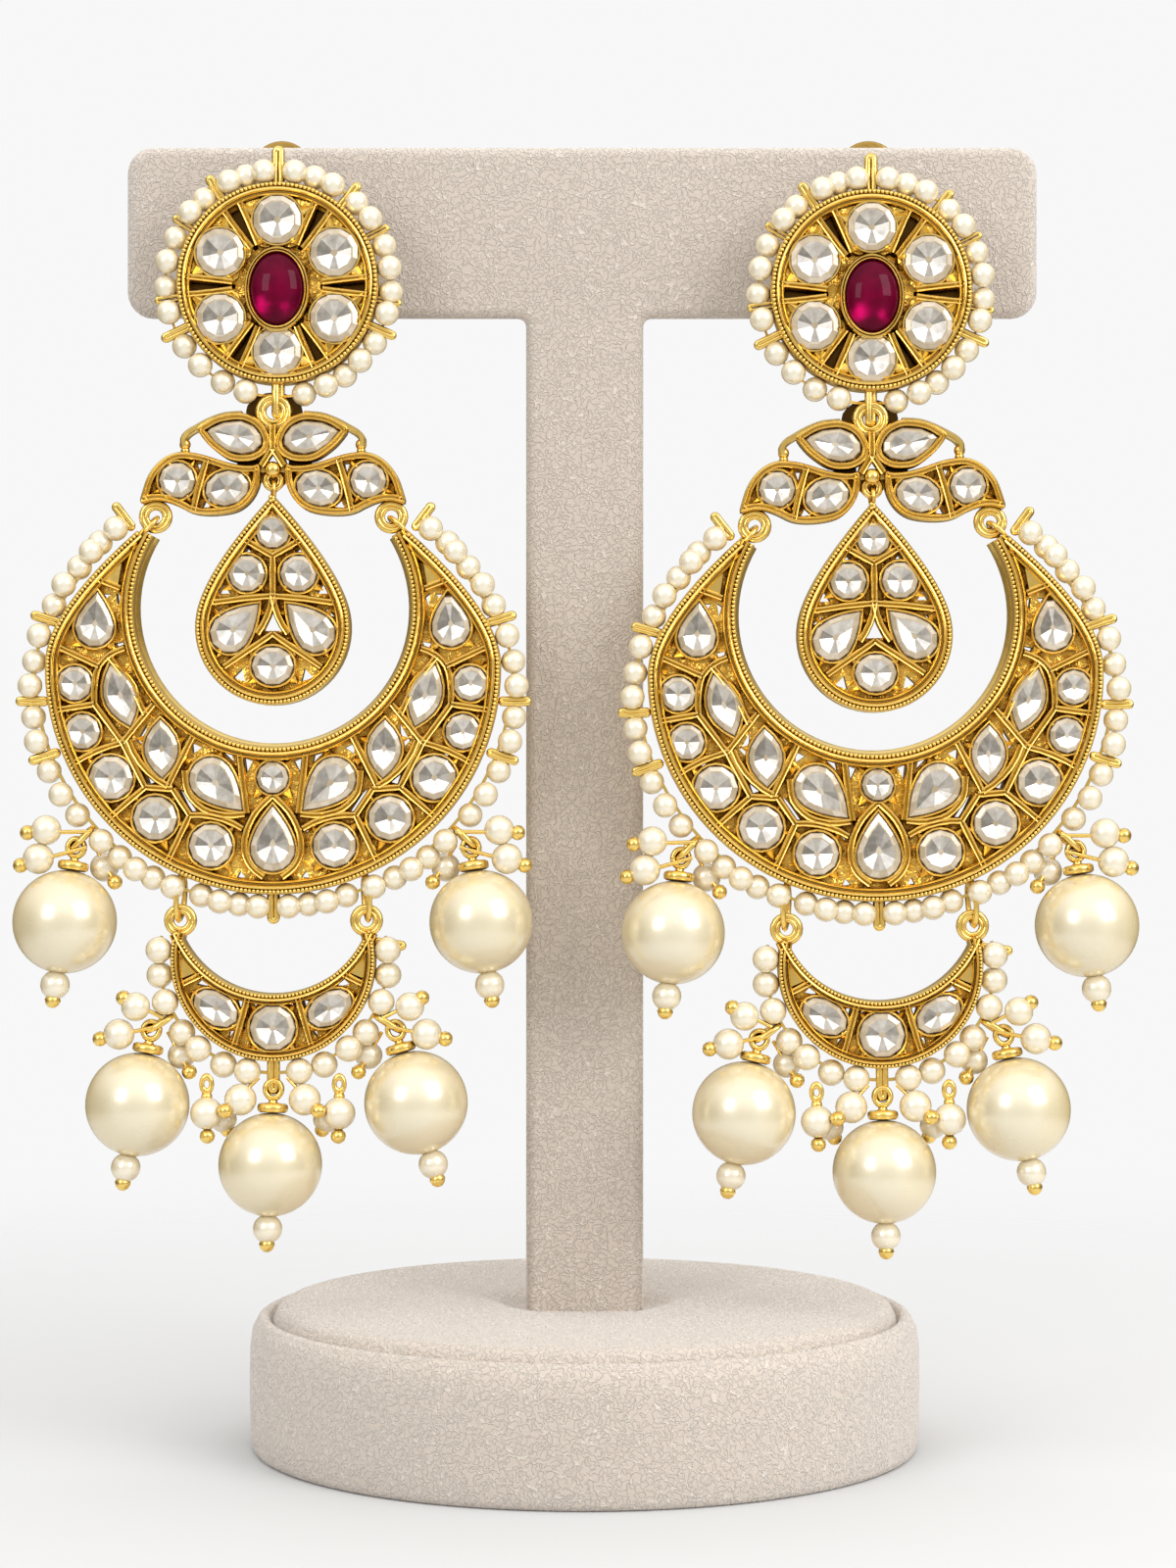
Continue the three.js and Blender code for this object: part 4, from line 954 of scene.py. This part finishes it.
MOON_RIBS = both([
    [(-17.3, -17.4), (-14.7, -18.4)],
    [(-20.6, -24.1), (-16.75, -25.9)],
    bow((-16.75, -25.9), (-16, -24.7), (-14.3, -24.2), 4),
    bow((-16.75, -25.9), (-17.3, -27), (-17.2, -29.6), 4),
    [(-21.1, -30.2), (-17.2, -29.6)],
    [(-17.2, -29.6), (-14.5, -33.3)],
    [(-14.5, -33.3), (-11.5, -29.6)],
    bow((-19.5, -35.5), (-16.9, -33.8), (-14.5, -33.3), 4),
    [(-14.5, -33.3), (-12.3, -37.6)],
    bow((-13.9, -33.1), (-12.9, -36.1), (-10.1, -37.5), 5),
    [(-10.1, -37.5), (-7.7, -32.7)],
    [(-15.8, -40.6), (-12.3, -37.6)],
    [(-12.3, -37.6), (-9.65, -37.8)],
    [(-9.65, -37.8), (-8, -40.3)],
    [(-8, -40.3), (-10.1, -44.7)],
    bow((-8, -40.3), (-5.2, -40.1), (-2.9, -41.6), 5),
    [(-3.2, -34.4), (-2.5, -40.1)],
    bow((-15.8, -25), (-13.6, -27.4), (-12.3, -30.6), 4),
    eased([(-8.5, -36), (-8.2, -38.1), (-6.7, -39.7), (-4.6, -40.3), (-2.7, -40.2)], closed=False),
    eased([(-0.15, -38.5), (-1.6, -40), (-2.55, -41.9), (-2.75, -43.8), (-2.1, -45.3), (-0.9, -46.3)],
          closed=False),
])
MOON_HOLES = both([
    [(-16.6, -18.9), (-15.7, -18.9), (-16.3, -19.6)],
    [(-15.2, -18.8), (-14.7, -19.2), (-15, -20.2)],
    [(-15.3, -23.7), (-14.4, -23.5), (-14.8, -24.6)],
    [(-12.2, -31.4), (-13.2, -33.1), (-12.4, -34)],
    [(-12.9, -34.6), (-12, -36.2), (-11, -37), (-12, -37.3)],
    [(-7.9, -33.3), (-6.9, -33.8), (-7.8, -34.4)],
    [(-4.9, -34.2), (-4, -34.4), (-3.8, -35.3)],
    [(-2.8, -34.8), (-2, -35.1), (-2.6, -36.3)],
    [(-9.2, -37.6), (-8.6, -38.2), (-7.4, -40), (-8.1, -39.9)],
    [(-14.5, -39.2), (-13.9, -38.6), (-14, -39.8)],
    [(-3.6, -41.4), (-2.9, -41.3), (-3.2, -42.1)],
    [(-3.2, -45.7), (-2.7, -46.3), (-3.6, -46.5)],
    [(-17, -34.1), (-16.4, -34.2), (-16.8, -34.9)],
])
MOON_CLAWS = [
    (-18.7, -23.6, 205, 0.8), (-15.7, -23.8, -60, 0.8), (-20.3, -26.3, 130, 0.9), (-17.8, -26.4, 40, 0.6),
    (-20.4, -28.9, 215, 0.9), (-17.9, -28.9, -40, 0.6), (-17, -31.2, 40, 0.6), (-19.6, -31, 125, 0.8),
    (-17.3, -33.7, -55, 0.9), (-13.6, -31.9, -75, 0.6), (-10.8, -36.9, -80, 0.5), (-12.4, -33, 170, 0.7),
    (-9.2, -33.2, 25, 0.8), (-17.3, -35.3, 135, 1), (-13.9, -35.2, 45, 1), (-17, -38.4, 230, 0.5),
    (-14.1, -38.4, -45, 0.8), (-12.9, -39, 130, 0.7), (-9.8, -39, 40, 0.8), (-13, -42.1, 225, 0.4),
    (-10.6, -42.8, -65, 1), (-9.1, -41.2, -10, 0.8), (-7.6, -41.7, 130, 0.9), (-4.3, -41.8, 40, 0.7),
    (-7.3, -44.9, 230, 0.7), (-4.6, -45, -50, 0.9), (-1.3, -35.5, 130, 0.7), (-1.3, -38, -130, 0.8),
    (-5.2, -34.5, 60, 0.5), (-8, -35.2, 150, 0.6),
]
MOON_SEEDS = [
    (-15.22, -12.61), (-16.83, -13.94), (-17.59, -14.81), (-18.83, -16.31), (-20.25, -18.02),
    (-21.29, -20.01), (-22.62, -22.95), (-23.19, -25.42), (-23.52, -27.79), (-23.28, -30.82),
    (-22.9, -33.19), (-21.77, -36.04), (-20.53, -38.32), (-19.02, -40.31), (-16.64, -42.82),
    (-14.94, -44.39), (-13.33, -45.52), (-11.71, -46.38), (-9.72, -47.23), (-7.02, -48.08),
    (-5.17, -48.65), (-3.37, -48.94), (-1.47, -49.13),
]
MOON_LOOPS = [(-14.6, -11.3, 127), (-22.1, -21.3, 163), (-23.5, -29.3, 180), (-22.3, -34.7, 198)]
HORN_LOOP = (12.1, -12.4)
LINK = (9, -49.3)
SIDE_HOOK = (18.5, -42.85)
HORN_PANEL = [(-14.2, -13.9), (-17.1, -17.1), (-14.9, -18)]
PANEL_FRONT, PANEL_BACK = -1.05, 0
SEED_WIRE = [(-0.15, -0.15), (0.15, -0.15), (0.15, 0.15), (-0.15, 0.15)]


def crescent_rims(bm, outer, inner, section, radius, pitch, aside):
    """The two rims of a crescent, each with its row of milgrain."""
    moulding(bm, [list(reversed(outer))], section)
    moulding(bm, [inner], section)
    grains(bm, outer, radius, pitch, aside)
    grains(bm, inner, radius, pitch, -aside)


def hook(bm, x, z, direction):
    """A stout loop for a large pearl, on the left at its direction and on the right mirrored."""
    for side, turn in ((-1, direction), (1, 180 - direction)):
        ring(bm, on_edge(side * x, z, turn, lean=10), 0.66, 0.31, stretch=1.8)


moon, bed = bmesh.new(), bmesh.new()
plate(bed, [MOON_BED] + MOON_HOLES, BED_FRONT, BED_BACK)
crescent_rims(moon, MOON_OUTER, MOON_INNER, SETTING_RIM, 0.24, 0.4, 0.3)
moulding(moon, [MOON_INNER], [(-0.35, -1.5), (-0.35, -1.1), (-0.05, -0.5), (0.1, -0.5), (0.1, -1.5)])
set_with(moon, MOON_RIBS, MOON_STONES + list(MOON_PEARS.values()), MOON_CLAWS, 0.85)
for outline in both([HORN_PANEL]):
    plate(moon, [outline], PANEL_FRONT, PANEL_BACK)
for side in (-1, 1):
    for x, z, left_direction in MOON_LOOPS:
        direction = left_direction if side < 0 else 180 - left_direction
        hairpin(moon, *outward(side * abs(x), z, direction, -1.5), direction, 2.7, 0.29)
    ring(moon, on_edge(side * HORN_LOOP[0], HORN_LOOP[1], 90 + side * 45, lean=14), 0.85, 0.24, stretch=1.35)
    ring(moon, on_edge(side * LINK[0], LINK[1] + 1.1, 90 + 4 * side, lean=20 * side), 0.9, 0.28, stretch=2.2)
hook(moon, SIDE_HOOK[0], SIDE_HOOK[1] + 0.3, 45)
hairpin(moon, 0, -47.4, -90, 3.1, 0.36, spread=0.28)
moulding(moon, [moon_edge(1.15, (14.3, -12.1), (22.8, -21))], SEED_WIRE)
pair_of("crescent_gold", moon, gold, "gold", DROP_PLACE, "{side}_main_drop", "{side}_crescent", smooth=50)
pair_of("crescent_bed", bed, bed_gold, "gold", DROP_PLACE, "{side}_main_drop")

moon_stones = bmesh.new()
for outline in MOON_STONES:
    faceted(moon_stones, thinned(outline, 12), middle_of(outline))
pair_of("crescent_stones", moon_stones, polki_foil, "polki", DROP_PLACE, "{side}_main_drop", smooth=0)
for label, outline in MOON_PEARS.items():
    loose = bmesh.new()
    faceted(loose, thinned(outline, 14), middle_of(outline))
    pair_of(f"crescent_pear_{label}", loose, polki_foil, "polki", DROP_PLACE, "{side}_main_drop",
            f"{{side}}_crescent_stone_{label}", smooth=0)

moon_seeds = bmesh.new()
for side in (-1, 1):
    seed_row(moon_seeds, [(side * abs(x), z) for x, z in MOON_SEEDS], SEED_RADIUS)

# ---- Small crescents -------------------------------------------------------------------------
# A little crescent of the same make, linked below by two rings. A round stone sits between two
# ovals, and it has its own seed pearls on a wire.


def hanging_arc(z, radius, tip, steps):
    """The lower part of a circle about z, from its left tip to its right one."""
    sine = (tip - z) / radius
    start = atan2(sine, (1 - sine * sine) ** 0.5) * 180 / pi
    return arc(0, z, radius, 180 - start, 360 + start, steps)


OUTER_Z, INNER_Z = -54.2, -47.9
BOAT_OUTER = hanging_arc(OUTER_Z, 9.9, -51.5, 40)
BOAT_INNER = hanging_arc(INNER_Z, 9.7, -51.5, 32)
BOAT_BED = hanging_arc(OUTER_Z, 9.4, -52.1, 40) + list(reversed(hanging_arc(INNER_Z, 10.1, -52.1, 32)))
BOAT_RIM = [(share * 0.8, height) for share, height in SETTING_RIM]
BOAT_STONES = [
    (oval(-5.5, -58.95, 2.4, 1.62, -33), (-5.5, -58.95)),
    (oval(0, -60.85, 2.25, 2.25), (0, -60.85)),
    (oval(5.5, -58.95, 2.4, 1.62, 33), (5.5, -58.95)),
]
BOAT_RIBS = both([[(-2.4, -57.9), (-3.7, -62.5)], [(-8.7, -56.6), (-6.7, -55.6)]])
BOAT_HOLES = both([
    [(-7.4, -56.7), (-6.7, -56), (-6.1, -57)],
    [(-3.5, -58.3), (-2.9, -58.2), (-3.2, -59.3)],
    [(-1.9, -58.2), (-1.2, -58.3), (-1.9, -58.9)],
    [(-4.2, -61.2), (-3.8, -61.2), (-4.4, -62)],
])
BOAT_CLAWS = [
    (-7.2, -57.7, 150, 0.7), (-3.8, -58.4, 60, 0.7), (-6, -61, 235, 0.6), (-3.9, -60.6, -50, 0.7),
    (-1.6, -59.2, 130, 0.7), (-1.6, -62.6, 225, 0.8),
]
BOAT_SEEDS = [(-11.05, -53.35), (-11.05, -55.81), (-10.44, -58.38), (-8.9, -61.36), (-7.26, -62.88),
              (-4.88, -64.49), (-2.51, -65.06)]
BOAT_PANEL = [(-9, -52.9), (-8.9, -56.1), (-7.2, -55.4)]
LOW_EYE = (6.4, -66.3)
LOW_HOOK = (11.1, -60.7)
LAST_HOOK = (0, -66)

boat, bed = bmesh.new(), bmesh.new()
plate(bed, [BOAT_BED] + BOAT_HOLES, BED_FRONT, BED_BACK)
crescent_rims(boat, BOAT_OUTER, BOAT_INNER, BOAT_RIM, 0.2, 0.36, 0.24)
set_with(boat, BOAT_RIBS, [outline for outline, _ in BOAT_STONES], BOAT_CLAWS, 0.85)
for outline in both([BOAT_PANEL]):
    plate(boat, [outline], PANEL_FRONT, PANEL_BACK)
upright = Matrix.Rotation(pi / 2, 4, "Z")
for side in (-1, 1):
    double_ring(boat, side * LINK[0], 0, LINK[1] - 1.2, (0.88, 0.27), (1.3, 0.31))
    ring(boat, standing(side * LOW_EYE[0], -0.6, LOW_EYE[1]) @ upright, 0.48, 0.24, stretch=1.5)
    ball(boat, (side * LOW_EYE[0], -0.6, LOW_EYE[1] - 1.2), 0.55, 2)
hook(boat, LOW_HOOK[0], LOW_HOOK[1] + 0.2, 31)
hairpin(boat, 0, -63.7, -90, 3.3, 0.36, spread=0.28)
hairpin(boat, 9.9, -52.6, -8, 2.7, 0.29)
moulding(boat, [hanging_arc(OUTER_Z, 11.05, -52, 40)], SEED_WIRE)
boat_stones = bmesh.new()
for outline, centre in BOAT_STONES:
    faceted(boat_stones, thinned(outline, 12), centre)
boat_seeds = bmesh.new()
for side in (-1, 1):
    seed_row(boat_seeds, [(side * abs(x), z) for x, z in BOAT_SEEDS], 1.3)

# ---- Pearl sprays ----------------------------------------------------------------------------
# Small pearls on short wires, each ended by a gold ball. They spring from the hooks that carry
# the large pearls and crowd round them.


def rod(bm, start, end, radius):
    """A straight wire between two points."""
    part = bmesh.new()
    bmesh.ops.create_cone(part, cap_ends=True, segments=8, radius1=radius, radius2=radius,
                          depth=(end - start).length)
    along = (end - start).to_track_quat("Z", "Y").to_matrix().to_4x4()
    put(bm, part, Matrix.Translation((start + end) / 2) @ along)


def sprig(gold_part, pearl_part, rows):
    """Each row gives a small pearl with the foot of its wire and its end ball, on both sides."""
    for side in (-1, 1):
        for foot, centre, end, radius in rows:
            foot, centre, end = (Vector((side * x, y, z)) for x, y, z in (foot, centre, end))
            rod(gold_part, foot, end, 0.2)
            ball(pearl_part, centre, radius)
            ball(gold_part, end, 0.75, 2)


MOON_SPRIGS = [
    ((17.6, -0.6, -41.9), (21.86, -0.9, -41.75), (23.66, -0.9, -42), 1.45),
    ((18, -0.6, -43.4), (22.62, -0.9, -44.5), (24.33, -0.9, -45.15), 1.5),
    ((17.6, 1.4, -43.2), (16.6, 1.6, -45.4), (15.4, 0.3, -46.8), 1.4),
]
BOAT_SPRIGS = [
    ((10.6, -0.6, -59.9), (13.23, -0.9, -58.8), (14.4, -0.9, -57.95), 1.4),
    ((11.1, -0.6, -60.7), (14.84, -0.9, -61.45), (16.65, -0.9, -61.9), 1.5),
    ((10.4, 1.4, -61.4), (9.1, 1.6, -63.7), (8.2, 0.4, -65.2), 1.35),
    ((1.4, -0.4, -65.7), (3.1, -1, -67.75), (4.5, -1.9, -68.75), 1.55),
    ((6.4, -0.7, -67.4), (6.4, -0.8, -69.1), (6.32, -0.8, -71.3), 1.58),
    ((5, 1.4, -68.6), (5, 1.4, -69.9), (4.6, 1.4, -70.9), 1.3),
]
moon_wires = bmesh.new()
sprig(moon_wires, moon_seeds, MOON_SPRIGS)
pair_of("crescent_seed_pearls", moon_seeds, seed_pearl, "pearl", DROP_PLACE, "{side}_main_drop", smooth=180)
pair_of("crescent_spray_wires", moon_wires, gold, "gold", DROP_PLACE, "{side}_main_drop", smooth=60)
sprig(boat, boat_seeds, BOAT_SPRIGS)
pair_of("small_crescent_gold", boat, gold, "gold", DROP_PLACE, "{side}_lower_drop", "{side}_small_crescent",
        smooth=50)
pair_of("small_crescent_bed", bed, bed_gold, "gold", DROP_PLACE, "{side}_lower_drop")
pair_of("small_crescent_stones", boat_stones, polki_foil, "polki", DROP_PLACE, "{side}_lower_drop", smooth=0)
pair_of("small_crescent_seed_pearls", boat_seeds, seed_pearl, "pearl", DROP_PLACE, "{side}_lower_drop",
        smooth=180)

# ---- Large pearls ----------------------------------------------------------------------------
# Five cream imitation pearls an earring. Each is threaded on a head pin under a gold cap, with a
# small pearl and a gold ball below, and its eye is closed round the hook above.

big_pearl = pearl_of("cream_pearl", (0.82, 0.728, 0.49, 1), (0.845, 0.768, 0.57, 1), (0.755, 0.565, 0.23, 1),
                     90)
EYE_ALONG, EYE_RADIUS = 7.25, 0.85
LEAN_TO_FRONT = -5
PIN_BODY = [(0, -8.4), (0.3, -8.35), (0.6, -8.1), (0.78, -7.65), (0.6, -7.2), (0.3, -7.05), (0.2, -6.9),
            (0.2, 5), (1.2, 5), (1.45, 5.15), (1.5, 5.45), (1.45, 5.75), (1.2, 5.9), (0.5, 5.95), (0.42, 6.1),
            (0.42, 6.25), (0.3, 6.35), (0.3, 6.5), (0, 6.55)]
# The hook of each large pearl, the way it points, and the body that carries it.
HOOKS = [(-SIDE_HOOK[0], SIDE_HOOK[1], 45, "main_drop"), (SIDE_HOOK[0], SIDE_HOOK[1], 135, "main_drop"),
         (-LOW_HOOK[0], LOW_HOOK[1], 31, "lower_drop"), (LOW_HOOK[0], LOW_HOOK[1], 149, "lower_drop"),
         (LAST_HOOK[0], LAST_HOOK[1], 90, "lower_drop")]
TILTS = {"left": [8, -8, 10, -16, 2], "right": [7, -7, 13, -10, 0]}
for side, place in DROP_PLACE.items():
    for i, ((x, z, direction, carrier), tilt) in enumerate(zip(HOOKS, TILTS[side]), start=1):
        eye_x, eye_z = outward(x, z, direction, -EYE_RADIUS)
        lean = Matrix.Rotation(radians(tilt), 4, "Y") @ Matrix.Rotation(radians(LEAN_TO_FRONT), 4, "X")
        hung = place @ Matrix.Translation((eye_x, 0, eye_z)) @ lean @ Matrix.Translation((0, 0, -EYE_ALONG))
        body = f"{side}_{carrier}"
        pearl = bmesh.new()
        bmesh.ops.create_uvsphere(pearl, u_segments=48, v_segments=28, radius=5, matrix=hung)
        piece(f"{side}_big_pearl_{i}", pearl, big_pearl, "pearl", body, f"{side}_pearl_{i}", smooth=180)
        tail = bmesh.new()
        ball(tail, (0, 0, -6.15), 1.42)
        tail.transform(hung)
        piece(f"{side}_tail_pearl_{i}", tail, seed_pearl, "pearl", body, smooth=180)
        pin = bmesh.new()
        turned(pin, PIN_BODY, 32)
        for y in (-0.28, 0.24):
            ring(pin, standing(0, y, EYE_ALONG), EYE_RADIUS, 0.28, stretch=0.92)
        pin.transform(hung)
        piece(f"{side}_head_pin_{i}", pin, gold, "gold", body, f"{side}_drop_pin_{i}", smooth=50)

# ---- Lights, floor and surroundings ------------------------------------------------------------
# Two soft boxes in front, a small low one at the right and a broad one above. A pale paper floor
# fades into the surroundings, which a mirror sees darker in front and at the sides.


def soft_box(name, place, width, height, power, target=(0, 0, 0.066)):
    light = bpy.data.lights.new(name, "AREA")
    light.shape = "RECTANGLE"
    light.size, light.size_y, light.energy = width, height, power
    made = bpy.data.objects.new(name, light)
    made.location = place
    made.rotation_euler = (Vector(target) - Vector(place)).to_track_quat("-Z", "Y").to_euler()
    scene.collection.objects.link(made)
    return made


soft_box("soft_box_right", (0.34, -0.33, 0.31), 0.25, 0.3, 1.05)
soft_box("soft_box_left", (-0.29, -0.42, 0.25), 0.18, 0.22, 0.5)
soft_box("soft_box_low", (0.3, -0.04, 0.05), 0.12, 0.12, 0.16, (0.03, 0, 0.008)).visible_glossy = False
soft_box("soft_box_above", (0, -0.05, 0.6), 0.5, 0.5, 1.25).visible_glossy = False

floor_mesh = bmesh.new()
bmesh.ops.create_circle(floor_mesh, cap_ends=True, segments=96, radius=900)
floor_data = bpy.data.meshes.new("floor")
floor_mesh.to_mesh(floor_data)
floor_mesh.free()
floor_data.transform(Matrix.Scale(MM, 4))
floor = bpy.data.objects.new("floor", floor_data)
scene.collection.objects.link(floor)
paper, tree, shader = finish_of("paper", Base_Color=(0.6, 0.6, 0.6, 1), Roughness=0.9, Specular_IOR_Level=0.1)
reach = node(tree, "ShaderNodeVectorMath", {0: own_place(tree)}, operation="LENGTH").outputs["Value"]
tree.links.new(ranged(tree, reach, 0.06, 0.26, 1.0, 0.0, "SMOOTHSTEP"), shader.inputs["Alpha"])
floor_data.materials.append(paper)

world = bpy.data.worlds.new("studio")
scene.world = world
world.use_nodes = True
sky = world.node_tree
aim = node(sky, "ShaderNodeTexCoord").outputs["Generated"]
along = node(sky, "ShaderNodeSeparateXYZ", {0: aim}).outputs
path = node(sky, "ShaderNodeLightPath").outputs

backdrop = ranged(sky, along["Y"], -0.95, 0.1, 0.76, 0.95)
ceiling = ranged(sky, along["Z"], 0.15, 0.8, 0.0, 0.35)
flank = ranged(sky, reckoned(sky, "ABSOLUTE", along["X"]), 0.4, 0.8, 0.0, 0.3)
behind_lens = ranged(sky, along["Y"], -0.995, -0.9, 0.2, 0.0)
shaded = reckoned(sky, "SUBTRACT", reckoned(sky, "ADD", backdrop, ceiling), flank)
soft_sky = reckoned(sky, "SUBTRACT", shaded, behind_lens)

front = ranged(sky, along["Y"], -0.85, -0.2, 0.68, 0.24, "SMOOTHSTEP")
lens_hood = ranged(sky, along["Y"], -0.99, -0.85, 0.14, 0.0)
mirrored_sky = reckoned(sky, "MULTIPLY_ADD", ceiling, 2.4, reckoned(sky, "SUBTRACT", front, lens_hood))
spread = node(sky, "ShaderNodeMix", {
    "Factor": path["Is Glossy Ray"], "A": soft_sky, "B": mirrored_sky}).outputs[0]
power = node(sky, "ShaderNodeMix", {"Factor": path["Is Camera Ray"], "A": spread, "B": 0.95}).outputs[0]
dimness = ranged(sky, mirrored_sky, 0.24, 0.75, 1.0, 0.0)
warmth = reckoned(sky, "MULTIPLY", dimness, path["Is Glossy Ray"])
tint = mixed(sky, warmth, (0.985, 0.985, 0.985, 1), (1.0, 0.84, 0.55, 1))
background = sky.nodes["Background"]
sky.links.new(tint, background.inputs["Color"])
sky.links.new(power, background.inputs["Strength"])
scene.view_settings.view_transform = "Standard"
